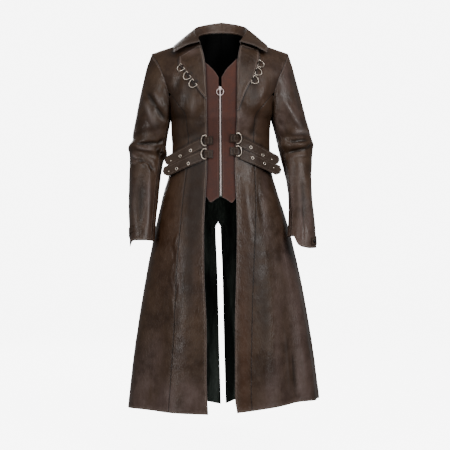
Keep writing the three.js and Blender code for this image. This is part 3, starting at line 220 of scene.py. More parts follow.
LAPEL_RINGS = {
    "top_right": (-1, 123, -99, -38, 6.3), "middle_right": (-1, 103, -127, -38, 6.5),
    "bottom_right": (-1, 84.5, -153, -38, 7.1), "top_left": (1, 118, -88, -22, 5.9),
    "middle_left": (1, 110, -114, -24, 5.8), "bottom_left": (1, 99, -142, -26, 6.3),
}

# Creases in the leather, seen from the front: x0, z0, x1, z1, width, depth (+ stands proud).
BODY_CREASES = (
    (-80, -190, -97, -275, 16, 3), (-118, -200, -128, -300, 12, -2), (-128, -112, -152, -190, 11, -2.4),
    (-145, -95, -165, -160, 9, 1.8), (-62, -310, -150, -338, 11, -2), (-66, -470, -112, -590, 15, 2.2),
    (-135, -640, -150, -820, 9, 2.4), (-118, -700, -128, -900, 9, -2),
    (-160, -1050, -190, -1190, 12, 2), (-140, -640, -152, -690, 4, 1.8),
    (-156, -680, -148, -735, 4, -1.8), (-150, -720, -160, -770, 4, 1.8),
    (-164, -760, -154, -815, 4, 1.6), (-158, -840, -150, -905, 5, 1.8),
    (-140, -780, -146, -850, 5, -1.8), (56, -240, 58, -345, 9, 2.2), (128, -215, 94, -337, 10, -2.4),
    (146, -118, 134, -205, 10, 2), (64, -300, 150, -330, 11, -1.6), (76, -458, 98, -660, 13, 2.6),
    (112, -470, 140, -640, 12, -2), (196, -880, 216, -1180, 9, 3), (226, -1000, 242, -1160, 7, -3.4),
    (252, -960, 272, -1165, 8, 2.6), (150, -960, 140, -1185, 10, 2), (168, -640, 205, -900, 12, 2.2),
)
SLEEVE_CREASES = (
    (-223, -172, -188, -238, 9, 3), (-246, -176, -216, -222, 8, -3.2),
    (-216, -222, -184, -268, 8, -3.4), (-254, -196, -210, -304, 12, 3.2),
    (-272, -290, -292, -322, 5, 2.4), (-282, -346, -206, -342, 5.5, -4),
    (-206, -342, -186, -330, 6, -3), (-282, -357, -222, -367, 6, 3), (-292, -378, -272, -398, 4.5, 3.4),
    (-277, -396, -236, -409, 5.5, -3.4), (-236, -409, -222, -434, 6, -3),
    (-208, -364, -176, -398, 12, -6), (-283, -405, -296, -415, 4, 2.6),
    (-262, -400, -236, -420, 7, 2.6), (-234, -432, -236, -640, 8, 2.6),
    (-258, -450, -262, -640, 10, -2), (-284, -440, -284, -640, 9, 1.8), (199, -200, 278, -318, 10, 3),
    (180, -262, 240, -346, 8, -1.2), (176, -160, 196, -250, 10, 2.2), (238, -110, 262, -250, 12, -2),
    (224, -312, 294, -306, 8, 3.4), (218, -338, 292, -330, 6, -3.4), (214, -373, 284, -360, 5.5, -3.6),
    (284, -360, 300, -345, 5.5, -3), (226, -388, 282, -382, 7, 3), (201, -377, 214, -484, 6, -3),
    (222, -420, 228, -560, 7, 2.8), (262, -440, 268, -600, 11, -2), (284, -450, 290, -620, 8, 2.2),
    (262.5, -545, 262.5, -676, 2.4, -1.6),
)
BACK_CREASES = (
    (-30, -90, -140, -215, 14, -2.6), (28, -80, 150, -200, 14, -2.4), (-110, -330, 20, -355, 12, -2.8),
    (120, -350, -10, -330, 12, 2.6), (-100, -300, -30, -322, 9, 2.4), (40, -305, 110, -322, 9, -2.4),
    (-90, -420, -120, -620, 16, 2.6), (80, -440, 120, -640, 16, -2.6),
    (-150, -520, -190, -760, 12, -2.4), (150, -520, 200, -760, 12, 2.4),
    (-120, -760, -150, -1050, 12, 2.6), (110, -780, 150, -1060, 12, -2.4),
)
# Patches seen from the front: x, z, width, height, painted light (a pale painted highlight, or
# painted shade where below 0) and rust (warm).
PATCHES = (
    (-132, -810, 20, 90, 0.35, 0), (-80, -440, 32, 150, -1.15, 0), (-90, -610, 28, 110, -1.0, 0),
    (-137, -330, 16, 40, -0.45, 0), (-137, -900, 13, 60, -0.8, 0), (-102, -790, 16, 110, -0.85, 0),
    (-225, -1060, 34, 110, 0.6, 0), (-268, -1125, 24, 80, 0.9, 0), (-200, -1000, 20, 50, 0.4, 0),
    (105, -720, 46, 220, -0.5, 0), (176, -880, 18, 270, 0.75, 0), (205, -700, 12, 50, 0.5, 0),
    (280, -1115, 24, 80, 0.9, 0), (160, -1120, 34, 60, 0.6, 0), (-100, -42, 24, 18, 0.9, 0),
    (141, -560, 17, 130, 0.95, 0), (211, -688, 10, 26, 0.7, 0), (84, -278, 26, 34, 0.6, 0),
    (107, -160, 16, 70, -1.0, 0), (-100, -165, 18, 60, -0.85, 0), (193, -282, 22, 40, 1.1, 0),
    (186, -302, 12, 22, 0.8, 0), (212, -120, 14, 50, 0.6, 0), (-207, -305, 12, 20, 0.5, 0),
    (-228, -195, 20, 50, -0.4, 0), (285, -640, 14, 40, 0.5, 0), (-128, -1010, 20, 120, 0.35, 0.1),
    (-200, -1180, 130, 60, 1.0, 0), (-110, -1150, 80, 50, 0.9, 0), (-86, -212, 18, 55, 0.5, 0),
    (-104, -300, 26, 60, 0.1, 0), (-150, -580, 30, 200, 0, 0.45), (-85, -650, 25, 240, 0.1, 0.5),
    (-195, -700, 30, 250, 0, 0.3), (246, -930, 34, 330, 1.0, 0), (210, -720, 18, 160, 0.4, 0),
    (180, -1170, 90, 50, 0.4, 0), (72, -900, 20, 420, 0, 0.9), (140, -900, 18, 110, -0.7, 0),
    (95, -600, 10, 150, 0.5, 0), (58, -265, 13, 58, 0.5, 0), (78, -330, 20, 50, 0.3, 0.1),
    (120, -230, 30, 120, 0.1, 0.5), (160, -120, 40, 60, 0.3, 0), (-150, -110, 34, 50, 0.3, 0),
    (-207, -205, 12, 36, 0.3, 0), (-236, -262, 16, 46, 0.4, 0), (-286, -305, 8, 24, 0.9, 0),
    (-285, -388, 10, 16, 0.9, 0), (-252, -362, 26, 12, 0.2, 0.3), (-236, -540, 13, 130, 0.8, 0),
    (-280, -560, 18, 150, 0.3, 0), (-212, -560, 12, 150, 0, 0.4), (215, -185, 24, 70, 0.7, 0),
    (246, -255, 22, 60, 0.6, 0), (262, -312, 30, 14, 0.6, 0), (226, -500, 10, 120, 0.6, 0),
    (258, -560, 18, 140, 0.6, 0), (288, -600, 10, 90, 0.8, 0), (245, -640, 40, 22, 0, 0.4),
)


# ---------- small helpers ----------
def hand(side):
    return "right" if side < 0 else "left"


def lerp(a, b, t):
    return a + (b - a) * t


def smooth(t):
    t = np.clip(t, 0, 1)
    return t * t * (3 - 2 * t)


def vec(x, y, z):
    return np.stack(np.broadcast_arrays(x, y, z), -1).astype(float)


def unit(v):
    return v / np.maximum(np.linalg.norm(v, axis=-1, keepdims=True), 1e-9)


def read(rows, key, column, at):
    """A smooth curve through one column of a table, read at places in its key column."""
    x, y = rows[key], rows[column]
    if x[-1] < x[0]:
        x, y = x[::-1], y[::-1]
    gap = np.diff(x)
    rise = np.diff(y) / gap
    slope = np.concatenate([rise[:1], rise, rise[-1:]])[: len(x)]
    shared = (rise[:-1] * gap[1:] + rise[1:] * gap[:-1]) / (gap[1:] + gap[:-1])
    slope[1:-1] = np.where(rise[:-1] * rise[1:] > 0, shared, 0)
    slope[-1] = rise[-1]
    t = np.clip(at, x[0], x[-1])
    i = np.clip(np.searchsorted(x, t) - 1, 0, len(gap) - 1)
    w = (t - x[i]) / gap[i]
    bend = (slope[i] * (1 - w) - slope[i + 1] * w) * gap[i]
    return lerp(y[i], y[i + 1], w * w * (3 - 2 * w)) + w * (1 - w) * bend


def normals_of(surface, a, b, flip):
    """Outward unit normals of surface(a, b), from its neighbours."""
    e = 1e-3
    across = surface(a + e, b) - surface(a - e, b)
    along = surface(a, b + e) - surface(a, b - e)
    return unit(np.cross(across, along)) * flip


# ---------- the body's surface ----------
def section(side, turn, z):
    key = hand(side)
    angle = turn * pi
    wide = np.abs(np.sin(angle)) ** (2 / ROUNDNESS)
    deep = np.abs(np.cos(angle)) ** (2 / ROUNDNESS)
    half = side * read(BODY, "z", key, z)
    centre = np.where(turn > 0.5, read(BODY, "z", "centre", z), 0)
    middle = read(BODY, "z", "side", z)
    ahead = -read(BODY, "z", "front", z) - middle
    behind = read(BODY, "z", "back", z) - middle
    x = centre + (half - centre) * wide
    y = middle + np.where(turn > 0.5, behind, ahead) * deep
    flute = 0
    for at_side, at, width, depth in FLUTES:
        if at_side == side:
            flute = flute + depth * np.exp(-(((turn - at) / width) ** 2))
    flute = flute * smooth((FLUTE_TOP - z) / (FLUTE_TOP - FLUTE_FULL))
    return vec(x + side * np.sin(angle) * flute, y - np.cos(angle) * flute, z)


def front_turn(side, z):
    share = read(FRONT_EDGE, "z", hand(side), z) / read(BODY, "z", hand(side), z)
    return np.arcsin(share ** (ROUNDNESS / 2)) / pi


def back_turn(side, z, gap):
    half = side * read(BODY, "z", hand(side), z)
    reach = np.abs(half - read(BODY, "z", "centre", z))
    return 1 - np.arcsin((gap / reach) ** (ROUNDNESS / 2)) / pi


def with_ends(rows, foot, tip):
    """A table of points with a first and a last row added, at v 0 and 1."""
    ends = {"v": (0, 1), "x": (foot[0], tip[0]), "y": (foot[1], tip[1]), "z": (foot[2], tip[2])}
    return {k: np.concatenate([[ends[k][0]], rows[k], [ends[k][1]]]) for k in ends}


def along_table(rows, v):
    return vec(read(rows, "v", "x", v), read(rows, "v", "y", v), read(rows, "v", "z", v))


def roll_line(side, v):
    foot = section(side, front_turn(side, ARMPIT_Z), ARMPIT_Z)
    rows = {**ROLL_LINE, "x": side * ROLL_LINE[hand(side)]}
    tip = (side * NECK_POINT[hand(side)][0], *NECK_POINT[hand(side)][1:])
    return along_table(with_ends(rows, foot, tip), v)


def armhole(side, rows, v):
    foot = section(side, 0.5, ARMPIT_Z)
    tip = SHOULDER_TIP[hand(side)]
    return along_table(with_ends({**rows, "x": side * rows["x"]}, foot, (side * tip[0], *tip[1:])), v)


def shoulder_seam(side, share):
    tip = SHOULDER_TIP[hand(side)]
    x, y, z = (lerp(a, b, share) for a, b in zip(NECK_POINT[hand(side)], tip))
    return vec(side * x, y, z)


def centre_back(side, v):
    foot = section(side, np.array(1.0), ARMPIT_Z)
    rows = with_ends({**CENTRE_BACK, "x": CENTRE_BACK["y"]}, foot, NAPE)
    x = lerp(foot[0], NAPE[0], v) + side * MIDDLE_GAP
    return vec(x, read(rows, "v", "y", v), read(rows, "v", "z", v))


def back_top(side, u):
    """The back neckline, then the shoulder seam."""
    seam = shoulder_seam(side, np.clip((u - BACK_NECK_SHARE) / (1 - BACK_NECK_SHARE), 0, 1))
    angle = np.clip(u / BACK_NECK_SHARE, 0, 1) * pi / 2
    point = NECK_POINT[hand(side)]
    x = lerp(NAPE[0] + side * MIDDLE_GAP, side * point[0], np.sin(angle))
    drop = 1 - np.cos(angle)
    neck = vec(x, lerp(NAPE[1], point[1], drop), lerp(NAPE[2], point[2], drop))
    return np.where((u >= BACK_NECK_SHARE)[..., None], seam, neck)


def patch(u, v, foot, top, inner, outer):
    """A four-sided patch between the body's section at the armpit and a top edge."""
    rise, across = smooth(v)[..., None], u[..., None]
    zero, one = np.zeros_like(u), np.ones_like(u)
    sides = lerp(inner(v), outer(v), across)
    feet = lerp(foot(zero), foot(one), across)
    tops = lerp(top(zero), top(one), across)
    return lerp(foot(u), top(u), rise) + sides - lerp(feet, tops, rise)


def half_panel(side, u, v, start, edge, top, inner, rows):
    """A front or back: u from its open edge to the side, v from hem (-1) by armpit (0) to shoulder (1)."""
    u, v = np.broadcast_arrays(np.asarray(u, float), np.asarray(v, float))
    hem = read(HEM, "turn", hand(side), lerp(edge, 0.5, np.clip(u, 0, 1)))
    z = lerp(ARMPIT_Z, hem, -np.minimum(v, 0))
    low = section(side, lerp(start(z), 0.5, u), z)
    at_armpit = start(np.full_like(u, ARMPIT_Z))
    high = patch(
        u, np.maximum(v, 0),
        lambda a: section(side, lerp(at_armpit, 0.5, a), np.full_like(a, ARMPIT_Z)),
        top, inner, lambda t: armhole(side, rows, t),
    )
    return np.where((v > 0)[..., None], high, low)


def front(side, u, v):
    return half_panel(
        side, u, v, lambda z: front_turn(side, z), 0,
        lambda a: shoulder_seam(side, a), lambda t: roll_line(side, t), ARMHOLE_FRONT,
    )


def back(side, u, v):
    gap = lambda z: lerp(MIDDLE_GAP, VENT_GAP / 2, smooth((VENT_TOP - z) / VENT_TAPER))
    return half_panel(
        side, u, v, lambda z: back_turn(side, z, gap(z)), 1,
        lambda a: back_top(side, a), lambda t: centre_back(side, t), ARMHOLE_BACK,
    )


def shoulder_normal(side):
    run = shoulder_seam(side, 1) - shoulder_seam(side, 0)
    return unit(vec(-run[2] * side, 0, run[0] * side))


def front_normal(side, u, v):
    safe = np.where(np.abs(v) < 2e-3, -2e-3, np.minimum(v, 1 - 1e-3))
    normal = normals_of(lambda a, b: front(side, a, b), u, safe, side)
    return np.where((v > 1 - 1e-6)[..., None], shoulder_normal(side), normal)


def back_normal(side, u, v):
    safe = np.where(np.abs(v) < 2e-3, -2e-3, np.minimum(v, 1 - 2e-3))
    normal = normals_of(lambda a, b: back(side, a, b), u, safe, -side)
    on_seam = (v > 1 - 1e-6) & (u > BACK_NECK_SHARE - 1e-6)
    return np.where(on_seam[..., None], shoulder_normal(side), normal)


def princess_at(side, v):
    """u of the princess seam at v."""
    z = lerp(ARMPIT_Z, read(HEM, "turn", hand(side), 0.2), -np.minimum(v, 0))
    share = read(PRINCESS, "z", hand(side), z) / read(BODY, "z", hand(side), z)
    turn = np.arcsin(share ** (ROUNDNESS / 2)) / pi
    start = front_turn(side, z)
    u = (turn - start) / (0.5 - start)
    return np.where(v <= 0, u, lerp(u, 1, np.clip(v / PRINCESS_TOP, 0, 1) ** 1.6))


# ---------- sleeves ----------
def armhole_loop(side, turn):
    """The armhole: 0 at the armpit, 1 at the shoulder tip and 2 at the armpit again."""
    ahead = front(side, np.ones_like(turn), np.minimum(turn, 1))
    behind = back(side, np.ones_like(turn), np.clip(2 - turn, 0, 1))
    return np.where((turn <= 1)[..., None], ahead, behind)


def sleeve(side, turn, down):
    """turn as on the armhole; down is 0 at the armhole and 1 at the cuff."""
    q = np.mod(turn, 2)
    v = np.where(q <= 1, q, 2 - q)
    fore = np.where(q <= 1, -1, 1)
    degrees = read(AROUND, "v", "angle", v)
    angle = np.radians(degrees)
    share = np.where(fore < 0, degrees / 360, 1 - degrees / 360)
    start = armhole_loop(side, q)
    rows = SLEEVE[hand(side)]

    def ring(z):
        outer, inner, ahead, behind = (read(rows, "z", k, z) for k in ("outer", "inner", "front", "back"))
        x = (outer + inner) / 2 - (outer - inner) / 2 * np.cos(angle)
        y = (ahead + behind) / 2 + fore * (behind - ahead) / 2 * np.sin(angle)
        return vec(side * x, y, z)

    z = lerp(start[..., 2], read(CUFF, "turn", hand(side), share), down)
    ease = (1 - smooth(down / SLEEVE_EASE))[..., None]
    skin = ring(z) + (start - ring(start[..., 2])) * ease
    fold = 0
    for at_side, at, height, width, rise, lean, depth in ELBOW_FOLDS:
        if at_side == side:
            away = np.abs(share - at)
            near = np.minimum(away, 1 - away)
            up = (z - height - lean * (share - at)) / rise
            fold = fold + depth * np.exp(-((near / width) ** 2) - up ** 2)
    out = vec(-side * np.cos(angle), fore * np.sin(angle), 0)
    return skin + out * np.asarray(fold)[..., None]


def sleeve_normal(side, turn, down):
    return normals_of(lambda a, b: sleeve(side, a, b), turn, np.maximum(down, 2e-3), -side)


# ---------- places on the fronts ----------
def on_front(side, x, z, lift=0.0):
    """The points of a front seen at (x, z) from the front, moved out by lift, and their normals."""
    x, z, lift = np.broadcast_arrays(np.asarray(x, float), np.asarray(z, float), np.asarray(lift, float))
    half = read(BODY, "z", hand(side), z)
    u = np.clip((np.abs(x) - 46) / (half - 46), 0, 0.9) * 0.8
    v = np.where(z > ARMPIT_Z, (z - ARMPIT_Z) / -ARMPIT_Z, (z - ARMPIT_Z) / SKIRT_DROP)
    e = 1e-4
    for _ in range(12):
        p = front(side, u, v)
        du = (front(side, u + e, v) - p) / e
        dv = (front(side, u, v + e) - p) / e
        miss_x, miss_z = x - p[..., 0], z - p[..., 2]
        scale = du[..., 0] * dv[..., 2] - dv[..., 0] * du[..., 2]
        u = u + np.clip((miss_x * dv[..., 2] - dv[..., 0] * miss_z) / scale, -0.2, 0.2)
        v = v + np.clip((du[..., 0] * miss_z - miss_x * du[..., 2]) / scale, -0.2, 0.2)
    normal = front_normal(side, u, np.minimum(v, 1 - 1e-3))
    return front(side, u, v) + normal * lift[..., None], normal


def edge_at(side, z):
    """Distance of the open edge or the roll line from the middle, at heights z."""
    z = np.asarray(z, float)
    v = np.linspace(0, 1, 400)
    line = roll_line(side, v)
    above = np.interp(z, line[:, 2], np.abs(line[:, 0]))
    return np.where(z <= ARMPIT_Z, read(FRONT_EDGE, "z", hand(side), z), above)


def waistcoat_point(side, x, z, lift=0.0):
    """A point of the waistcoat: behind the fronts, and one smooth curve across the opening."""
    wall = sizes().leather_wall / MM
    behind = lift - wall - WAISTCOAT_DEPTH
    edge = edge_at(side, z) + 1
    wide = side * x
    covered = on_front(side, side * np.maximum(wide, edge), z, behind)[0]
    at = on_front(side, side * edge, z, behind)[0]
    ahead = on_front(side, side * (edge + 3), z, behind)[0]
    slope = (ahead[..., 1] - at[..., 1]) / (np.abs(ahead[..., 0]) - np.abs(at[..., 0]))
    y = at[..., 1] - slope * edge / 2 * (1 - (wide / edge) ** 2)
    return np.where((wide >= edge)[..., None], covered, vec(x, y, z))


def zip_x(z):
    return lerp(ZIP_TOP_X, ZIP_FOOT_X, (ZIP_TOP - z) / (ZIP_TOP - ZIP_FOOT))


def zip_face(z):
    z = np.asarray(z, float)
    right = waistcoat_point(-1, zip_x(z) - ZIP_HALF, z)
    left = waistcoat_point(1, zip_x(z) + ZIP_HALF, z)
    return vec(zip_x(z), (right[..., 1] + left[..., 1]) / 2, z)


def frame_on(side, x, z, lift, swing=0.0):
    """A place on a front: its origin, outwards, off the leather, and up along a bar."""
    origin, off = on_front(side, side * x, z, lift)
    out = unit(on_front(side, side * (x + 2), z, lift)[0] - origin)
    turned = Matrix.Rotation(radians(swing) * side, 3, Vector(off)) @ Vector(out)
    out = np.array(turned)
    out = unit(out - off * out.dot(off))
    return origin, out, off, unit(np.cross(off, out) * side)


def spot(place, a, b, c):
    origin, out, off, bar = place
    return origin + np.multiply.outer(a, out) + np.multiply.outer(b, off) + np.multiply.outer(c, bar)


def along_line(seen, a, b):
    """How far along a straight line each point lies, from 0 to 1, and its distance from it."""
    run = b - a
    t = np.clip(((seen - a) @ run) / (run @ run), 0, 1)
    return t, np.linalg.norm(seen - (a + t[..., None] * run), axis=-1)


def creased(points, rows):
    """How far each point is pushed in or out by the creases drawn across it."""
    push = np.zeros(points.shape[:-1])
    for x0, z0, x1, z1, width, depth in rows:
        t, away = along_line(points[..., [0, 2]], np.array((x0, z0)), np.array((x1, z1)))
        ends = np.sin(pi * np.clip(t, 0.04, 0.96)) ** 0.6
        push += depth * ends * np.exp(-((away / width) ** 2))
    return push


def strap_line(name):
    """The ends of a strap's middle line, seen from the front, its direction and its length."""
    ends = np.array(STRAPS[name][1:5], float).reshape(2, 2)
    length = np.hypot(*(ends[1] - ends[0]))
    return ends, (ends[1] - ends[0]) / length, length


def laid_edges(kind, side):
    """The outlines, seen from the front, of what lies over a piece: coat, lapel, collar or straps."""
    along = np.linspace(0, 1, 30)
    if kind == "coat":
        z = lerp(-60, -540, along)
        return [np.stack([side * edge_at(side, z), z], -1)]
    if kind == "lapel":
        edge = LAPEL_EDGE[hand(side)]
        return [np.stack([side * read(edge, "along", "x", along), read(edge, "along", "z", along)], -1)]
    if kind == "collar":
        x, z = (read(COLLAR_EDGE, "along", k, along) for k in (hand(side), "z"))
        return [np.stack([side * x, z], -1), np.array([(side * x[-1], z[-1]), (side * 66, -27)])]
    lines = []
    for name, (at_side, *_) in STRAPS.items():
        if at_side == side:
            ends, run, _ = strap_line(name)
            off = STRAP_WIDTH / 2 * np.array((run[1], -run[0]))
            lines += [(ends + way * off) * (side, 1) for way in (-1, 1)]
    return lines


def shade_under(points, kinds):
    """How near each point lies to the edge of something laid over it."""
    seen = points[..., [0, 2]]
    near = np.full(points.shape[:2], FAR)
    for side in (-1, 1):
        for kind in kinds:
            for line in laid_edges(kind, side):
                for a, b in zip(line, line[1:]):
                    near = np.minimum(near, along_line(seen, a, b)[1])
    return np.exp(-((near / SHADE_REACH) ** 2)) * (points[..., 1] < SHADE_BEHIND)


# ---------- sizes and colours that a user may change ----------
def size(name, description, default, **more):
    return FloatProperty(name=name, description=description, default=default, unit="LENGTH", **more)


def colour(name, description, default):
    return FloatVectorProperty(
        name=name, description=description, default=default, subtype="COLOR", size=3, min=0, max=1
    )


class CoatSizes(bpy.types.PropertyGroup):
    leather_wall: size("Leather", "Thickness of the shell's leather", 0.0018)
    lining_wall: size("Lining", "Thickness of the lining", 0.001)
    waistcoat_wall: size("Waistcoat", "Thickness of the waistcoat", 0.0016)
    lapel_wall: size("Lapel", "Thickness of a lapel", 0.002)
    strap_wall: size("Strap", "Thickness of a waist strap", 0.0018)
    fine_step: size("Step", "Spacing of the cloth's points", 0.006)
    rumple: size("Rumple", "Height of the leather's soft unevenness", 0.0016)
    rumple_reach: size("Rumple Reach", "Distance between its soft bumps", 0.06)
    crinkle: size("Crinkle", "Height of the leather's small unevenness", 0.0013)
    crinkle_reach: size("Crinkle Reach", "Distance between its small bumps", 0.021)
    stitch: size("Stitch", "Length of one stitch and its gap", 0.0036)
    stitch_inset: size("Stitch Inset", "Distance of topstitching from a seam", 0.0055)
    tooth_pitch: size("Tooth Pitch", "Distance from one zip tooth to the next", 0.003)
    ring_wire: size("Ring Wire", "Radius of the waist rings' wire", 0.0018)
    small_wire: size("Small Wire", "Radius of the lapel rings' wire", 0.00125)
    eyelet: size("Eyelet", "Outer radius of an eyelet", 0.0055)
    rivet: size("Rivet", "Radius of a rivet's head", 0.0028)
    stud: size("Stud", "Radius of a cuff stud", 0.007)


class CoatColours(bpy.types.PropertyGroup):
    leather_dark: colour("Leather Dark", "Leather in its darkest mottling", (0.02, 0.0095, 0.0045))
    leather: colour("Leather", "The leather's main brown", (0.048, 0.0265, 0.0145))
    # Painted highlight: the pale, cool tint painted on the leather where it should catch the light.
    bloom: colour("Painted Light", "Leather where it has gone pale and cool", (0.086, 0.057, 0.05))
    rust: colour("Rust", "Leather where it is warm", (0.056, 0.023, 0.0105))
    strap: colour("Strap", "Leather of the straps and loops", (0.036, 0.0205, 0.012))
    thread: colour("Thread", "Topstitching", (0.13, 0.098, 0.08))
    # Pale tone of open edges and crease ridges: worn leather, and also a painted highlight.
    edge: colour("Edge", "Worn leather along open edges", (0.12, 0.1, 0.094))
    waistcoat: colour("Waistcoat", "Matte red-brown leather of the waistcoat", (0.06, 0.021, 0.0145))
    lining: colour("Lining", "Black satin lining", (0.02, 0.0245, 0.021))
    metal: colour("Metal", "Antique silver", (0.6, 0.52, 0.44))
    zip: colour("Zip", "Pale silver of the zip", (0.95, 0.8, 0.78))
    tarnish: colour("Tarnish", "Dark film in the metal's hollows", (0.13, 0.1, 0.075))
    stud: colour("Stud", "Black studs", (0.01, 0.008, 0.008))
    floor: colour("Floor", "Studio floor and backdrop", (0.86, 0.86, 0.86))


def sizes():
    return bpy.context.scene.coat_sizes


def colours():
    return bpy.context.scene.coat_colours


# ---------- finishes ----------
DITCH = (0.004, 0.0025, 0.002)  # the bottom of a seam, and leather shaded by what lies on it
# Painted shade in the troughs of creases.
PAINTED_FOLD_SHADE = (0.007, 0.004, 0.002)
# Painted shade: the dark tone painted where the patches go below 0.
PAINTED_SHADE_TONE = (0.012, 0.006, 0.003)
LOOP_DARK = (0.008, 0.005, 0.003)
# Painted sheen on the black satin lining.
PAINTED_SATIN_SHEEN = (0.15, 0.18, 0.155)
# Painted shade for the inside of the neck.
PAINTED_NECK_SHADE = (0.0006, 0.0006, 0.0006)
WAISTCOAT_WARM = (0.068, 0.0205, 0.012)
WAISTCOAT_NAP = (0.042, 0.0165, 0.0125)
WAISTCOAT_DITCH = (0.02, 0.004, 0.003)
WAISTCOAT_SHADE = (0.012, 0.002, 0.0015)
STUD_RUB = (0.05, 0.045, 0.042)
FLOOR_PALE = (0.8, 0.8, 0.8)
SEWN_SHARE = 0.74  # how much of a stitch's pitch is thread


class Tone:
    """A socket that takes part in sums."""

    def __init__(self, finish, socket):
        self.finish, self.socket = finish, socket

    def sum(self, operation, a, b):
        return self.finish.node("ShaderNodeMath", {"operation": operation}, {0: a, 1: b})

    def __add__(self, other):
        return self.sum("ADD", self, other)

    def __sub__(self, other):
        return self.sum("SUBTRACT", self, other)

    def __rsub__(self, other):
        return self.sum("SUBTRACT", other, self)

    def __mul__(self, other):
        return self.sum("MULTIPLY", self, other)

    def __truediv__(self, other):
        return self.sum("DIVIDE", self, other)

    def __rtruediv__(self, other):
        return self.sum("DIVIDE", other, self)

    def __mod__(self, other):
        return self.sum("FLOORED_MODULO", self, other)

    def __rmod__(self, other):
        return self.sum("FLOORED_MODULO", other, self)

    def __lt__(self, other):
        return self.sum("LESS_THAN", self, other)

    def __abs__(self):
        return self.sum("ABSOLUTE", self, 0.0)

    __radd__, __rmul__ = __add__, __mul__


class Finish:
    """A material, made node by node."""

    def __init__(self, name, **constants):
        self.material = bpy.data.materials.new(name)
        self.material.use_nodes = True
        self.tree = self.material.node_tree
        self.shader = self.tree.nodes["Principled BSDF"]
        for key, value in constants.items():
            self.shader.inputs[key.replace("_", " ")].default_value = value

    def node(self, kind, settings, inputs, out=0):
        """One node: its settings first, then the values or links of its sockets."""
        made = self.tree.nodes.new(kind)
        for key, value in settings.items():
            setattr(made, key, value)
        for key, value in inputs.items():
            self.put(made.inputs[key], value)
        return Tone(self, made.outputs[out])

    def put(self, socket, value):
        if isinstance(value, Tone):
            self.tree.links.new(value.socket, socket)
        else:
            colour_given = hasattr(value, "__len__") and socket.type == "RGBA"
            socket.default_value = (*value, 1) if colour_given else value

    def object_place(self, stretch=(1, 1, 1)):
        place = self.node("ShaderNodeTexCoord", {}, {}, "Object")
        return self.node("ShaderNodeMapping", {}, {"Vector": place, "Scale": stretch})

    def noise(self, place, scale, detail=2.0, rough=0.5):
        inputs = {"Vector": place, "Scale": scale, "Detail": detail, "Roughness": rough}
        return self.node("ShaderNodeTexNoise", {}, inputs, "Fac")

    def place_along(self, axis):
        """One coordinate of the object."""
        place = self.node("ShaderNodeTexCoord", {}, {}, "Object")
        return self.node("ShaderNodeSeparateXYZ", {}, {0: place}, axis)

    def cells(self, place, scale):
        settings, inputs = {"feature": "DISTANCE_TO_EDGE"}, {"Vector": place, "Scale": scale}
        return self.node("ShaderNodeTexVoronoi", settings, inputs, "Distance")

    def fact(self, name):
        return self.node("ShaderNodeAttribute", {"attribute_name": name}, {}, "Fac")

    def ease(self, value, low, high):
        """0 at low, 1 at high and smooth between."""
        settings = {"interpolation_type": "SMOOTHSTEP"}
        return self.node("ShaderNodeMapRange", settings, {"Value": value, "From Min": low, "From Max": high})

    def mix(self, share, a, b):
        return self.node("ShaderNodeMix", {"data_type": "RGBA"}, {0: share, 6: a, 7: b}, 2)

    def bump(self, height, strength, distance, under=None):
        inputs = {"Height": height, "Strength": strength, "Distance": distance}
        if under is not None:
            inputs["Normal"] = under
        return self.node("ShaderNodeBump", {}, inputs)

    def finish(self, **links):
        for key, value in links.items():
            self.put(self.shader.inputs[key.replace("_", " ")], value)
        return self.material


def stitch_masks(f, inset, pitch):
    """The ditch of the nearest seam, the rim of the nearest open edge (worn leather, and on the coat also a
    painted highlight), and the thread's dashes.
    """
    ditch = 1 - f.ease(f.fact("seam"), 0.0006, 0.0028)
    rim = 1 - f.ease(f.fact("rim"), 0.0008, 0.0022)
    line = 1 - f.ease(abs(f.fact("border") - inset), 0.0006, 0.0015)
    dash = (f.fact("run") / pitch % 1.0) < SEWN_SHARE
    return ditch, rim, line, line * dash


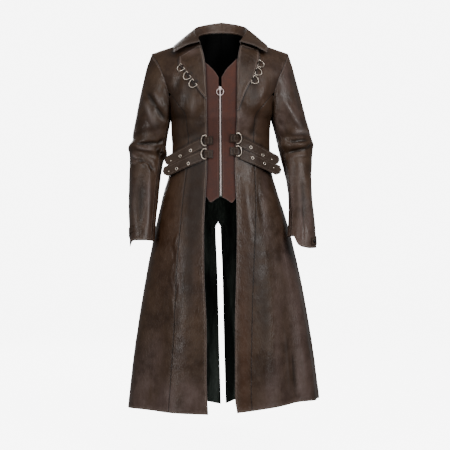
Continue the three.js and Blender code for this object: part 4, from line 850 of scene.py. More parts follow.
def leather(name, base, dark, rough, patches=True):
    """Garment leather: mottled, softly creased, fine-grained, with topstitching along its seams."""
    c = colours()
    f = Finish(name, IOR=1.45, Specular_IOR_Level=0.32)
    place = f.object_place()
    ditch, rim, line, thread = stitch_masks(f, sizes().stitch_inset, sizes().stitch)
    mottle = f.noise(place, 9.0, 3.0, 0.55)
    cloud = f.noise(place, 28.0, 4.0, 0.6)
    streak = f.noise(f.object_place((1, 1, 0.16)), 26.0, 3.0, 0.6)
    tone = f.mix(f.ease(mottle * 0.55 + cloud * 0.45, 0.34, 0.66), dark, base)
    # Nearness to a stitched edge: for puckers, and for a painted highlight beside it.
    beside = 1 - f.ease(f.fact("border"), 0.004, 0.018)
    pucker = f.noise(place, 150.0, 2.0, 0.5) * beside
    if patches:
        # Painted highlight: pale, cool streaks where the patches are above 0.
        pale = f.fact("bloom") * f.ease(streak * 0.6 + cloud * 0.4, 0.22, 0.76)
        tone = f.mix(f.fact("rust") * (0.5 + 0.5 * cloud), tone, c.rust)
        tone = f.mix(pale, tone, c.bloom)
        # Painted shade in crease troughs; on crease ridges a pale tint, partly pull-up wear and partly a
        # painted highlight.
        tone = f.mix(f.ease(0 - f.fact("fold"), 0.1, 1.2) * 0.75, tone, PAINTED_FOLD_SHADE)
        tone = f.mix(f.ease(f.fact("fold"), 0.3, 1.6) * 0.4, tone, c.edge)
        # Painted shade where the patches go below 0; the same mask roughens the leather.
        tone = f.mix(f.fact("gloom"), tone, PAINTED_SHADE_TONE)
        # Painted highlight: a pale tint beside seams and edges, broken up by the cloud noise.
        tone = f.mix(beside * f.ease(cloud, 0.35, 0.7) * 0.25, tone, c.bloom)
        tone = f.mix(f.fact("shade") * 0.8, tone, DITCH)
    # Open edges: pale worn leather that is also a painted highlight; darker on straps and loops.
    tone = f.mix(rim * 0.6, tone, c.edge if patches else dark)
    tone = f.mix(thread * (0.8 if patches else 0.35), tone, c.thread)
    tone = f.mix(ditch * 0.7, tone, DITCH)
    grain = f.cells(place, 620.0)
    wrinkle = f.noise(f.object_place((1, 1, 0.5)), 105.0, 3.0, 0.62)
    soft = f.bump(wrinkle + pucker, 0.5, 0.0026)
    fine = f.bump(grain, 0.16, 0.0004, soft)
    sewn = f.bump(line * -0.6 + thread * 0.4 - ditch, 0.8, 0.0009, fine)
    matt = rough + 0.16 * f.ease(cloud, 0.3, 0.75) - 0.05 * f.ease(streak, 0.4, 0.7)
    return f.finish(Base_Color=tone, Roughness=matt + 0.3 * f.fact("gloom"), Normal=sewn)


def lining_finish():
    c = colours()
    f = Finish("black_satin_lining", IOR=1.18)
    place = f.object_place((1, 1, 0.12))
    fold = f.noise(place, 22.0, 3.0, 0.55)
    weave = f.noise(f.object_place(), 1400.0, 1.0)
    # Painted sheen: pale streaks on the lining along its fold noise.
    tone = f.mix(f.ease(fold, 0.4, 0.7), c.lining, PAINTED_SATIN_SHEEN)
    # Painted shade: the lining and zip tape go near black towards the top, where they show in the neck.
    tone = f.mix(f.ease(f.place_along("Z"), -0.55, -0.3), tone, PAINTED_NECK_SHADE)
    return f.finish(
        Base_Color=tone,
        Roughness=0.5 + 0.2 * f.ease(fold, 0.3, 0.7),
        Normal=f.bump(weave, 0.15, 0.0002, f.bump(fold, 0.5, 0.004)),
    )


def waistcoat_finish():
    c = colours()
    f = Finish("waistcoat_leather", IOR=1.34)
    place = f.object_place()
    ditch, rim, line, thread = stitch_masks(f, sizes().stitch_inset * 0.8, sizes().stitch)
    nap = f.noise(place, 34.0, 5.0, 0.65)
    fleck = f.noise(place, 260.0, 2.0, 0.6)
    warm = f.mix(f.ease(f.place_along("X"), -0.03, 0.04), c.waistcoat, WAISTCOAT_WARM)
    tone = f.mix(f.ease(nap * 0.6 + fleck * 0.4, 0.35, 0.66), WAISTCOAT_NAP, warm)
    tone = f.mix(thread * 0.3, tone, c.thread)
    tone = f.mix(rim * 0.5, tone, c.edge)
    tone = f.mix(ditch * 0.6, tone, WAISTCOAT_DITCH)
    tone = f.mix(f.fact("shade") * 0.85, tone, WAISTCOAT_SHADE)
    return f.finish(
        Base_Color=tone,
        Roughness=0.66 + 0.16 * nap,
        Normal=f.bump(line * -0.5 - ditch, 0.5, 0.0006, f.bump(fleck, 0.25, 0.0005)),
    )


def metal_finish(name, silver, wear, metallic=1.0):
    c = colours()
    f = Finish(name, Metallic=metallic)
    place = f.object_place()
    film = f.noise(place, 260.0, 4.0, 0.65)
    scratch = f.noise(place, 900.0, 2.0, 0.6)
    tone = f.mix(f.ease(film, wear, wear + 0.22), silver, c.tarnish)
    return f.finish(
        Base_Color=tone,
        Roughness=0.3 + 0.25 * film,
        Normal=f.bump(scratch, 0.15, 0.0002),
    )


def stud_finish():
    f = Finish("black_stud", Metallic=0.6)
    rub = f.noise(f.object_place(), 500.0, 3.0, 0.6)
    tone = f.mix(f.ease(rub, 0.5, 0.75), colours().stud, STUD_RUB)
    return f.finish(Base_Color=tone, Roughness=0.3 + 0.25 * rub, Normal=f.bump(rub, 0.1, 0.0002))


made_finishes = {}
FINISHES = {
    "leather": lambda: leather("coat_leather", colours().leather, colours().leather_dark, 0.36),
    "strap": lambda: leather("strap_leather", colours().strap, colours().leather_dark, 0.48, False),
    "loop": lambda: leather("loop_leather", colours().leather_dark, LOOP_DARK, 0.5, False),
    "lining": lining_finish,
    "waistcoat": waistcoat_finish,
    "metal": lambda: metal_finish("antique_silver", colours().metal, 0.54),
    "zip_metal": lambda: metal_finish("zip_silver", colours().zip, 0.64, 0.55),
    "stud": stud_finish,
}


def finish_of(name):
    """A finish, made the first time it's asked for."""
    if name not in made_finishes:
        made_finishes[name] = FINISHES[name]()
    return made_finishes[name]


# ---------- modelling ----------
BAND_THICK, BAR_PLAY = 1.2, 0.35
CLOTH_SMOOTH, METAL_SMOOTH = radians(50), radians(40)
LEAST_WIDTH, LEAST_FILL = 0.01, 0.301  # of a sheet's flat size


def deselect():
    if bpy.context.mode != "OBJECT":
        bpy.ops.object.mode_set(mode="OBJECT")
    bpy.ops.object.select_all(action="DESELECT")


def choose(piece):
    deselect()
    piece.select_set(True)
    bpy.context.view_layer.objects.active = piece


def apply_all(piece):
    choose(piece)
    for modifier in list(piece.modifiers):
        bpy.ops.object.modifier_apply(modifier=modifier.name)


def in_edit_mode(piece, *steps):
    choose(piece)
    bpy.ops.object.mode_set(mode="EDIT")
    bpy.ops.mesh.select_all(action="SELECT")
    for step in steps:
        step()
    bpy.ops.object.mode_set(mode="OBJECT")


def triples(items, key):
    """One three-part property of all of a mesh's vertices or faces."""
    flat = np.zeros(len(items) * 3)
    items.foreach_get(key, flat)
    return flat.reshape(-1, 3)


def shape_grid(name, points):
    """A primitive grid whose points are moved to their places."""
    rows, columns = points.shape[:2]
    deselect()
    bpy.ops.mesh.primitive_grid_add(x_subdivisions=columns - 1, y_subdivisions=rows - 1, size=1)
    piece = bpy.context.object
    piece.name = piece.data.name = name
    mesh = piece.data
    flat = triples(mesh.vertices, "co")
    column = np.rint((flat[:, 0] + 0.5) * (columns - 1)).astype(int)
    row = np.rint((flat[:, 1] + 0.5) * (rows - 1)).astype(int)
    mesh.vertices.foreach_set("co", (points[row, column] * MM).ravel())
    mesh.update()
    return piece, row, column


def arcs(points, axis):
    """Distance along the cloth in one direction, in metres."""
    step = np.linalg.norm(np.diff(points, axis=axis), axis=-1) * MM
    start = np.zeros_like(np.take(step, [0], axis))
    return np.concatenate([start, np.cumsum(step, axis)], axis)


def edge_facts(across, along, free, stitched):
    """Each point's distance from the nearest seam, open edge and stitched edge, and along that edge."""
    gaps = {"l": across, "r": across[:, -1:] - across, "b": along, "t": along[-1:] - along}
    facts = {key: np.full(across.shape, 1.0) for key in ("seam", "rim", "border", "run")}
    for edge, gap in gaps.items():
        kind = "rim" if edge in free else "seam"
        facts[kind] = np.minimum(facts[kind], gap)
        if edge in stitched:
            facts["run"] = np.where(gap < facts["border"], along if edge in "lr" else across, facts["run"])
            facts["border"] = np.minimum(facts["border"], gap)
    return facts


def cloth(node, points, normals, wall, finish, held, *, name=None, free="b", rests=(), rumple=1.0,
          inside="lining", slot=None, under=(), push=0.0, stitched="lrtb"):
    """A panel of leather or lining: a grid laid on its points, rumpled, and given its wall inwards.
    free names its open edges: left, right, bottom and top. The others are sewn. stitched names the
    edges with a row of topstitching."""
    across, along = arcs(points, 1), arcs(points, 0)
    piece, row, column = shape_grid(name or f"{node}_leather", points)
    mesh = piece.data
    facts = edge_facts(across, along, free, stitched)
    facts["shade"] = shade_under(points, under)
    if finish == "leather":
        bloom, rust = patches(points)
        # Patches above 0 become painted highlight, below 0 painted shade.
        facts |= {"bloom": np.maximum(bloom, 0), "gloom": np.maximum(-bloom, 0) * 0.8, "rust": rust}
        # Each crease's push, which the finish paints as shade in troughs and a pale tint on ridges.
        facts["fold"] = np.broadcast_to(push / FOLD_SCALE, points.shape[:2])
    for key, values in facts.items():
        mesh.attributes.new(key, "FLOAT", "POINT").data.foreach_set("value", values[row, column].ravel())
    corner = np.zeros(len(mesh.loops), int)
    mesh.loops.foreach_get("vertex_index", corner)
    places = np.stack([across[row, column], along[row, column]], -1)[corner]
    mesh.uv_layers[0].data.foreach_set("uv", places.ravel())
    pick = len(mesh.polygons) // 2
    middle = triples(mesh.polygons, "center")[pick]
    nearest = np.argmin(np.linalg.norm(points.reshape(-1, 3) * MM - middle, axis=1))
    if triples(mesh.polygons, "normal")[pick] @ normals.reshape(-1, 3)[nearest] < 0:
        in_edit_mode(piece, bpy.ops.mesh.flip_normals)
    for key in ("rumple", "crinkle") if rumple else ():
        texture = bpy.data.textures.get(key) or bpy.data.textures.new(key, "CLOUDS")
        texture.noise_scale = getattr(sizes(), f"{key}_reach")
        displace = piece.modifiers.new(key, "DISPLACE")
        displace.texture, displace.texture_coords = texture, "LOCAL"
        displace.strength, displace.mid_level = getattr(sizes(), key) * rumple, 0.5
    solidify = piece.modifiers.new("wall", "SOLIDIFY")
    solidify.thickness, solidify.offset, solidify.material_offset = wall, -1, 1
    for side in (finish, inside):
        mesh.materials.append(finish_of(side))
    apply_all(piece)
    bpy.ops.object.shade_smooth_by_angle(angle=CLOTH_SMOOTH)
    flat_width, flat_length = max(float(across[:, -1].max()), LEAST_WIDTH), float(along[-1].max())
    first = points[:-1, :-1]
    cells = np.cross(points[:-1, 1:] - first, points[1:, :-1] - first)
    area = float(np.linalg.norm(cells, axis=-1).sum()) * MM * MM
    area = min(max(area, LEAST_FILL * flat_width * flat_length), flat_width * flat_length)
    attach(piece, "coat")
    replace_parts(piece, node)
    return piece


def patches(points):
    # Painted light from the patches: a painted highlight above 0, painted shade below 0; and a warm tone.
    bloom = np.zeros(points.shape[:2])
    rust = np.zeros(points.shape[:2])
    ahead = smooth((60 - points[..., 1]) / 60)
    for x, z, wide, high, pale, warm in PATCHES:
        near = np.exp(-(((points[..., 0] - x) / wide) ** 2) - ((points[..., 2] - z) / high) ** 2) * ahead
        bloom += pale * near
        rust += warm * near
    # Behind, the painted pale tint and the warm tone follow a slow wave instead of the patches.
    behind = 1 - ahead
    wave = 0.5 + 0.5 * np.sin(points[..., 0] / 31 + 1.4) * np.sin(points[..., 2] / 170 + points[..., 0] / 90)
    return np.clip(bloom + behind * 0.5 * wave, -1, 1), np.clip(rust + behind * 0.25 * (1 - wave), 0, 1)


def spread(count):
    """Places from 0 to 1, close together near both ends."""
    t = np.linspace(0, 1, count)
    return t - 0.82 * np.sin(2 * pi * t) / (2 * pi)


def steps(length):
    return max(8, int(round(length * MM / sizes().fine_step)))


def body_rows():
    low = -np.linspace(0, 1, steps(SKIRT_DROP))[::-1]
    low[1] = -1 + 0.004  # two rows close to the hem keep its fold sharp
    low = np.insert(low, 1, -1 + 0.0015)
    high = np.linspace(0, 1, steps(SHOULDER_RISE))[1:]
    return np.concatenate([low, high])


def grid_between(rows, start, end, count):
    """u and v of a grid whose rows run from start(v) to end(v)."""
    v = rows[:, None] * np.ones((1, count))
    u = lerp(start(rows)[:, None], end(rows)[:, None], spread(count)[None, :])
    return u, v


def pull_in(points, left=0.0, right=0.0, top=0.0):
    """Draws a panel's edges back from its seams."""
    points = points.copy()
    points[:, 0] += unit(points[:, 1] - points[:, 0]) * left
    points[:, -1] += unit(points[:, -2] - points[:, -1]) * right
    points[-1] += unit(points[-2] - points[-1]) * top
    return points


class COAT_OT_fronts(bpy.types.Operator):
    """The four front panels, cut at the princess seams"""

    bl_idname = "coat.fronts"
    bl_label = "Fronts"

    def execute(self, context):
        whole = body_rows()
        short = whole[whole < PRINCESS_TOP * SIDE_POINT]
        for side in (-1, 1):
            princess = lambda v: princess_at(side, v)
            for part, rows, start, end, count, pull, more in (
                ("centre_front", whole, np.zeros_like, princess, 32, (0, -SEAM_LAP, SEAM_LAP),
                 {"free": "lb", "stitched": "lbt", "under": ("lapel", "collar", "straps")}),
                ("side_front", short, princess, np.ones_like, 38, (-SEAM_LAP, -SEAM_LAP, 0),
                 {"stitched": "b", "under": ("collar", "straps")}),
            ):
                u, v = grid_between(rows, start, end, count)
                normal = front_normal(side, u, v)
                points = front(side, u, v)
                push = creased(points, BODY_CREASES) * BODY_CREASE_GAIN
                points = pull_in(points + normal * push[..., None], *pull)
                cloth(f"{part}_{hand(side)}", points, normal, sizes().leather_wall, "leather", "hung",
                      push=push, **more)
        return {"FINISHED"}


class COAT_OT_backs(bpy.types.Operator):
    """The two back panels, open below the vent's top"""

    bl_idname = "coat.backs"
    bl_label = "Backs"

    def execute(self, context):
        for side in (-1, 1):
            u, v = grid_between(body_rows(), np.zeros_like, np.ones_like, 64)
            normal = back_normal(side, u, v)
            points = back(side, u, v)
            push = creased(points, BACK_CREASES) * BODY_CREASE_GAIN
            points = pull_in(points + normal * push[..., None], 0, -SEAM_LAP, SEAM_LAP)
            by_seam = smooth((points[..., 2] - VENT_TOP) / 8) * (u < 0.012)
            points[..., 0] -= side * 0.3 * by_seam
            cloth(f"back_{hand(side)}", points, normal, sizes().leather_wall, "leather", "hung", push=push)
        return {"FINISHED"}


class COAT_OT_linings(bpy.types.Operator):
    """The black lining just inside the backs"""

    bl_idname = "coat.linings"
    bl_label = "Linings"

    def execute(self, context):
        wall = sizes().leather_wall / MM
        for side in (-1, 1):
            rows = body_rows()
            rows = rows[(rows > -0.955) & (rows < 0.985)]
            u, v = grid_between(rows, lambda v: 0 * v + 0.009, lambda v: 0 * v + 0.975, 48)
            normal = back_normal(side, u, v)
            points = back(side, u, v)
            fold = 1.1 * np.sin(u * 34 + 1.2 * side) * smooth((-v - 0.2) / 0.5)
            points = points - normal * (wall + LINING_GAP + LINING_PLAY + fold)[..., None]
            node = f"lining_{hand(side)}"
            cloth(node, points, normal, sizes().lining_wall, "lining", "hung",
                  name=f"{node}_satin", rumple=0.3)
        return {"FINISHED"}


class COAT_OT_sleeves(bpy.types.Operator):
    """Two-piece sleeves, each an upper and an under sleeve"""

    bl_idname = "coat.sleeves"
    bl_label = "Sleeves"

    def execute(self, context):
        for side in (-1, 1):
            for part, start, end, count in (
                ("upper", FORE_SEAM, 2 - REAR_SEAM, 96), ("under", -REAR_SEAM, FORE_SEAM, 56),
            ):
                down = np.sort(np.append(np.linspace(0, 1, steps(SLEEVE_PATH)), (0.003, 0.9975)))
                turn, down = np.broadcast_arrays(lerp(start, end, spread(count))[None, :], down[:, None])
                normal = sleeve_normal(side, turn, down)
                points = sleeve(side, turn, down)
                seen = creased(points, SLEEVE_CREASES) * np.clip(-normal[..., 1] * 1.6, -0.5, 1)
                push = seen * SLEEVE_CREASE_GAIN * smooth(down * 12)
                points = pull_in(points + normal * push[..., None], -SEAM_LAP, -SEAM_LAP, 0)
                points[0] += unit(points[2] - points[0]) * 0.4
                cloth(f"{part}_sleeve_{hand(side)}", points, normal, sizes().leather_wall, "leather", "hung",
                      push=push)
        return {"FINISHED"}


class COAT_OT_lapels(bpy.types.Operator):
    """Turned-back lapels, rolled at the front edge"""

    bl_idname = "coat.lapels"
    bl_label = "Lapels"

    def execute(self, context):
        wall = sizes().lapel_wall
        for side in (-1, 1):
            key = hand(side)
            along, w = np.broadcast_arrays(np.linspace(0, 1, 60)[:, None], spread(34)[None, :])
            edge = LAPEL_EDGE[key]
            roll_z = lerp(edge["z"][0], LAPEL_TOP[key], along)
            roll_x = edge_at(side, roll_z) - 0.6
            rim_x, rim_z = read(edge, "along", "x", along), read(edge, "along", "z", along)
            opening = lerp(0.4, 1, np.minimum(1, along / 0.2))
            lift = read(LAPEL_LIFT, "w", "lift", w) * opening + wall / MM
            points, normal = on_front(side, side * lerp(roll_x, rim_x, w), lerp(roll_z, rim_z, w), lift)
            cloth(f"lapel_{key}", points, normal, wall, "leather", "folded", free="lrb", rumple=0.3,
                  inside="leather", rests=[f"centre_front_{key}"], under=("collar",))
        return {"FINISHED"}


def collar_section(side, along):
    """The points that one section of the collar runs through."""
    v = lerp(1, COLLAR_END, np.clip((along - 0.5) / 0.5, 0, 1))
    neck = back_top(side, np.clip(along / 0.5, 0, 1) * BACK_NECK_SHARE)
    seam = np.where((along <= 0.5)[..., None], neck, roll_line(side, v))
    roll, rim = (
        vec(*(read(rows, "along", k, along) for k in (hand(side), "y", "z"))) * (side, 1, 1)
        for rows in (COLLAR_ROLL, COLLAR_EDGE)
    )
    out = unit((rim - roll) * (1, 1, 0))
    up = np.array((0, 0, 1.0))
    base = seam + up * 1.6 - out * 0.5
    over = roll + out * 4.4 - up * 3.2
    return np.stack([
        base, lerp(base, roll, 0.55) - out, roll - out * 3 - up * 4, roll, over,
        lerp(over, rim, 0.4) + up * 5, lerp(over, rim, 0.75) + up * 3.5, rim,
    ])


def through(knots, t):
    """A smooth curve through knots, read at places t from 0 to 1."""
    ends = np.concatenate([2 * knots[:1] - knots[1:2], knots, 2 * knots[-1:] - knots[-2:-1]])
    last = len(knots) - 1
    i = np.minimum((t * last).astype(int), last - 1)
    w = (t * last - i)[..., None]
    column = np.arange(len(t))
    p0, p1, p2, p3 = (ends[i + k, column] for k in range(4))
    gap = [np.maximum(np.linalg.norm(b - a, axis=-1, keepdims=True), 1e-6) ** 0.5
           for a, b in ((p0, p1), (p1, p2), (p2, p3))]
    a = ((p1 - p0) / gap[0] - (p2 - p0) / (gap[0] + gap[1]) + (p2 - p1) / gap[1]) * gap[1]
    b = ((p2 - p1) / gap[1] - (p3 - p1) / (gap[1] + gap[2]) + (p3 - p2) / gap[2]) * gap[1]
    return p1 + a * w + (3 * (p2 - p1) - 2 * a - b) * w ** 2 + (2 * (p1 - p2) + a + b) * w ** 3


class COAT_OT_collar(bpy.types.Operator):
    """The folded collar, one leather from wing to wing"""

    bl_idname = "coat.collar"
    bl_label = "Collar"

    def execute(self, context):
        lines = []
        for side, places in ((-1, np.linspace(1, 0, 64)), (1, np.linspace(0, 1, 64)[1:])):
            knots = collar_section(side, places)
            grid = np.stack([through(knots, np.full(len(places), t)) for t in np.linspace(0, 1, 46)])
            lines.append(grid)
        points = np.concatenate(lines, axis=1).transpose(1, 0, 2)
        normal = unit(np.cross(np.gradient(points, axis=1), np.gradient(points, axis=0)))
        if normal[len(points) // 2, 30, 2] < 0:
            normal = -normal
        cloth("collar", points, normal, sizes().leather_wall, "leather", "folded", free="rtb", rumple=0.35,
              inside="leather", rests=["back_left", "back_right"])
        return {"FINISHED"}


class COAT_OT_waistcoat(bpy.types.Operator):
    """The waistcoat's two fronts, pointed at the foot and V at the neck"""

    bl_idname = "coat.waistcoat"
    bl_label = "Waistcoat"

    def execute(self, context):
        for side in (-1, 1):
            cut = WAISTCOAT_CUT[hand(side)]
            order = spread(22) if side > 0 else 1 - spread(22)
            start = lerp(cut["x"][0], cut["x"][-1], order)[None, :]
            share = np.linspace(0, 1, 66)[:, None]
            z = lerp(read(cut, "x", "foot", start), read(cut, "x", "top", start), share)
            by_zip = np.linspace(1, 0, 22)[None, :] ** 3
            x = start + (zip_x(z) + side * ZIP_HALF - start[:, :1]) * by_zip
            points = waistcoat_point(side, x, z)
            normal = np.broadcast_to((0.0, -1.0, 0.0), points.shape)
            cloth(f"waistcoat_{hand(side)}", points, normal, sizes().waistcoat_wall, "waistcoat", "hung",
                  free="bt", rumple=0.25, under=("coat",))
        return {"FINISHED"}


def strap_point(name, s, k):
    """A strap's face: s along it, k from -1 to 1 across it."""
    side, x0, z0, *_, lift = STRAPS[name]
    _, run, length = strap_line(name)
    half = STRAP_WIDTH / 2 * np.clip((1 - s) / STRAP_TIP + STRAP_POINT, 0, 1)
    x = x0 + run[0] * length * s - run[1] * half * k
    z = z0 + run[1] * length * s + run[0] * half * k
    height = lerp(STRAP_LIFT, lift, smooth((s - 0.1) / 0.25)) + sizes().strap_wall / MM
    low, normal = on_front(side, side * np.minimum(x, STRAP_LEAVES_AT), z, height)
    onward = np.maximum(0, x - STRAP_LEAVES_AT)
    ahead = vec(side * np.abs(normal[..., 1]), side * normal[..., 0] * np.sign(-normal[..., 1]), 0)
    return low + ahead * (onward / np.abs(ahead[..., 0]))[..., None], normal


def on_strap(name, x, z):
    """The place on a strap's face that is seen at (x, z)."""
    ends, run, length = strap_line(name)
    away = np.array((x, z)) - ends[0]
    s = np.array([away @ run / length])
    k = np.array([(away @ (-run[1], run[0])) / (STRAP_WIDTH / 2)])
    point, normal = strap_point(name, s, k)
    return point[0], normal[0]


class COAT_OT_straps(bpy.types.Operator):
    """Four waist straps with pointed tips"""

    bl_idname = "coat.straps"
    bl_label = "Waist Straps"

    def execute(self, context):
        for name, (side, *_) in STRAPS.items():
            s, k = np.broadcast_arrays(
                np.sort(np.append(np.linspace(0, 1, 44), (0.905, 0.93, 0.955, 0.975)))[:, None],
                (spread(14) * 2 - 1)[None, :],
            )
            points, normal = strap_point(name, s, k)
            cloth(f"waist_strap_{name}", points, normal, sizes().strap_wall, "strap", "stretched",
                  free="lrt", rumple=0.12, inside="strap", rests=[f"centre_front_{hand(side)}"])
        return {"FINISHED"}


def facing(origin, off, up=(0, 0, 1)):
    """A matrix that stands a shape made along +Z on a surface, its foot at origin (mm)."""
    z = Vector(off).normalized()
    x = Vector(up).cross(z).normalized()
    turn = Matrix((x, z.cross(x), z)).transposed().to_4x4()
    return Matrix.Translation(Vector(origin) * MM) @ turn


def settle(piece, matrix, finish, body="coat"):
    """Places a finished shape in its mesh, and gives it its finish and body."""
    piece.data.transform(matrix @ piece.matrix_world)
    piece.matrix_world = Matrix.Identity(4)
    piece.data.materials.clear()
    piece.data.materials.append(finish_of(finish))
    choose(piece)
    bpy.ops.object.shade_smooth_by_angle(angle=METAL_SMOOTH)
    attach(piece, body)
    return piece


def copied(piece, name):
    """Another of the same, with its own mesh."""
    other = piece.copy()
    other.data = piece.data.copy()
    other.name = other.data.name = name
    bpy.context.collection.objects.link(other)
    return other


class COAT_OT_studding(bpy.types.Operator):
    """Eyelets and rivets of the waist straps"""

    bl_idname = "coat.studding"
    bl_label = "Eyelets and Rivets"

    def execute(self, context):
        radius, head = sizes().eyelet, sizes().rivet
        deselect()
        bpy.ops.mesh.primitive_torus_add(
            major_segments=28, minor_segments=10, major_radius=radius * 0.78, minor_radius=radius * 0.21)
        eyelet = bpy.context.object
        in_edit_mode(eyelet, lambda: bpy.ops.transform.resize(value=(1, 1, 0.55)))
        deselect()
        # Painted shade: a black disc in each eyelet stands in for the shaded hole.
        bpy.ops.mesh.primitive_cylinder_add(vertices=20, radius=radius * 0.7, depth=0.0007)
        hole = bpy.context.object
        deselect()
        bpy.ops.mesh.primitive_uv_sphere_add(segments=20, ring_count=10, radius=head)
        rivet = bpy.context.object
        in_edit_mode(rivet, lambda: bpy.ops.transform.resize(value=(1, 1, 0.5)))
        for name in STRAPS:
            for i, (x, z) in enumerate(EYELETS[name]):
                point, normal = on_strap(name, x, z)
                seat = facing(point + normal * 0.2, normal)
                settle(copied(eyelet, f"eyelet_{name}_{i + 1}"), seat, "metal")
                # Painted shade: the black disc in the eyelet's middle.
                settle(copied(hole, f"eyelet_hole_{name}_{i + 1}"), facing(point, normal), "stud")
            point, normal = on_strap(name, *RIVETS[name])
            settle(copied(rivet, f"rivet_{name}"), facing(point, normal), "metal")
        for model in (eyelet, hole, rivet):
            bpy.data.objects.remove(model)
        return {"FINISHED"}


def d_path(height, bulge, count):
    """A D ring's centreline: a straight bar, then a bow away from it."""
    turn = np.linspace(radians(8), radians(172), count - 6)
    bow = np.stack([bulge * np.sin(turn) ** 0.8, height / 2 * np.cos(turn)], -1)
    bar = np.stack([np.zeros(6), np.linspace(-height / 2, height / 2, 6)], -1)
    return np.concatenate([bar, bow])


def wire_ring(name, place, path, radius, lean=0.0):
    """A torus whose rings are moved along a flat closed path."""
    count, around = len(path), 14
    deselect()
    bpy.ops.mesh.primitive_torus_add(
        major_segments=count, minor_segments=around, major_radius=1, minor_radius=0.25)
    piece = bpy.context.object
    piece.name = piece.data.name = name
    flat = triples(piece.data.vertices, "co")
    major = np.mod(np.rint(np.arctan2(flat[:, 1], flat[:, 0]) / (2 * pi) * count).astype(int), count)
    minor = np.arctan2(flat[:, 2], np.hypot(flat[:, 0], flat[:, 1]) - 1)
    ahead = unit(np.roll(path, -1, 0) - path)
    along = unit(ahead + np.roll(ahead, 1, 0))
    side = radius * np.cos(minor)
    a = path[major, 0] + along[major, 1] * side
    c = path[major, 1] - along[major, 0] * side
    rise = radius * np.sin(minor)
    tilt = radians(lean)
    points = spot(place, a * np.cos(tilt) + rise * np.sin(tilt), rise * np.cos(tilt) - a * np.sin(tilt), c)
    piece.data.vertices.foreach_set("co", (points * MM).ravel())
    in_edit_mode(piece, lambda: bpy.ops.mesh.normals_make_consistent(inside=False))
    return piece


def evenly(path, count):
    """A line through a path's points, read at count places."""
    at, knots = np.linspace(0, len(path) - 1, count), np.arange(len(path))
    return np.stack([np.interp(at, knots, column) for column in path.T], -1)


def band(node, place, hole, width, length, drop, finish="strap"):
    """A strip of leather wrapped over a ring's bar, its tail sewn flat beside it."""
    rows, columns = 60, 12
    round_ = hole + BAND_THICK
    turn = np.linspace(-pi / 2 - 0.15, pi + 0.35, 22)
    wrap = np.stack([round_ * np.cos(turn), round_ * np.sin(turn)], -1)
    if drop:
        low = -round_ - drop
        tail = np.array([(-length, low), (-14, low), (-8.2, low), (-4.8, -round_), (-1.2, -round_)])
        flap = np.array([(-round_ * 0.96, -0.6), (-round_ - 1.6, -round_ + BAND_THICK + 0.6),
                         (-8.8, 1.4 - round_ - drop + BAND_THICK), (-13, BAND_THICK + 0.5 - round_ - drop)])
        path = np.concatenate([tail, wrap[turn < pi - 0.25], flap])
        path[:, 1] += 0.35
    else:
        tail = np.array([(-length, -round_), (-length * 0.5, -round_), (-1.0, -round_)])
        path = np.concatenate([tail, wrap[turn < pi + 0.1]])
    dense = evenly(path, rows)
    c = (spread(columns) - 0.5) * width
    a, b = (np.repeat(dense[:, i], columns) for i in (0, 1))
    points = spot(place, a, b, np.tile(c, rows)).reshape(rows, columns, 3)
    ahead = np.gradient(dense, axis=0)
    out = unit(np.stack([ahead[:, 1], -ahead[:, 0]], -1))
    a, b = (np.repeat(out[:, i], columns) for i in (0, 1))
    normal = spot((np.zeros(3), *place[1:]), a, b, np.zeros(rows * columns))
    return cloth(node, points, normal.reshape(rows, columns, 3), 0.0011, finish, "folded",
                 free="lr", rumple=0, inside=finish, slot="strap")


class COAT_OT_waist_rings(bpy.types.Operator):
    """D rings at the waist and the tabs that hold them"""

    bl_idname = "coat.waist_rings"
    bl_label = "Waist Rings"

    def execute(self, context):
        wire = sizes().ring_wire / MM
        for name, (side, x, z, drop) in WAIST_RINGS.items():
            place = frame_on(side, x, z, 6.3)
            ring = wire_ring(f"waist_ring_{name}_metal", place, d_path(34, 15, 44), wire)
            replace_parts(settle(ring, Matrix(), "metal"), f"waist_ring_{name}")
            band(f"waist_tab_{name}", place, wire + BAR_PLAY, 27, 22, drop)
        return {"FINISHED"}


class COAT_OT_lapel_rings(bpy.types.Operator):
    """D rings on the lapels and the loops that hold them"""

    bl_idname = "coat.lapel_rings"
    bl_label = "Lapel Rings"

    def execute(self, context):
        wire = sizes().small_wire / MM
        for name, (side, x, z, swing, rise) in LAPEL_RINGS.items():
            place = frame_on(side, x, z, rise, swing)
            ring = wire_ring(f"lapel_ring_{name}_metal", place, d_path(27, 21, 44), wire, 9)
            node = f"lapel_ring_{name}"
            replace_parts(settle(ring, Matrix(), "metal", node), node)
            band(f"lapel_loop_{name}", place, wire + BAR_PLAY, 10, 11, 0, "loop")
        return {"FINISHED"}


TOOTH, TOOTH_SHIFT = (0.003, 0.0016, 0.0015), 0.95
PULL_RADIUS, PULL_OUT = 11.2, 1.9 + 2 + 1.5 + 0.35  # the ring pull, and its hinge off the zip's face


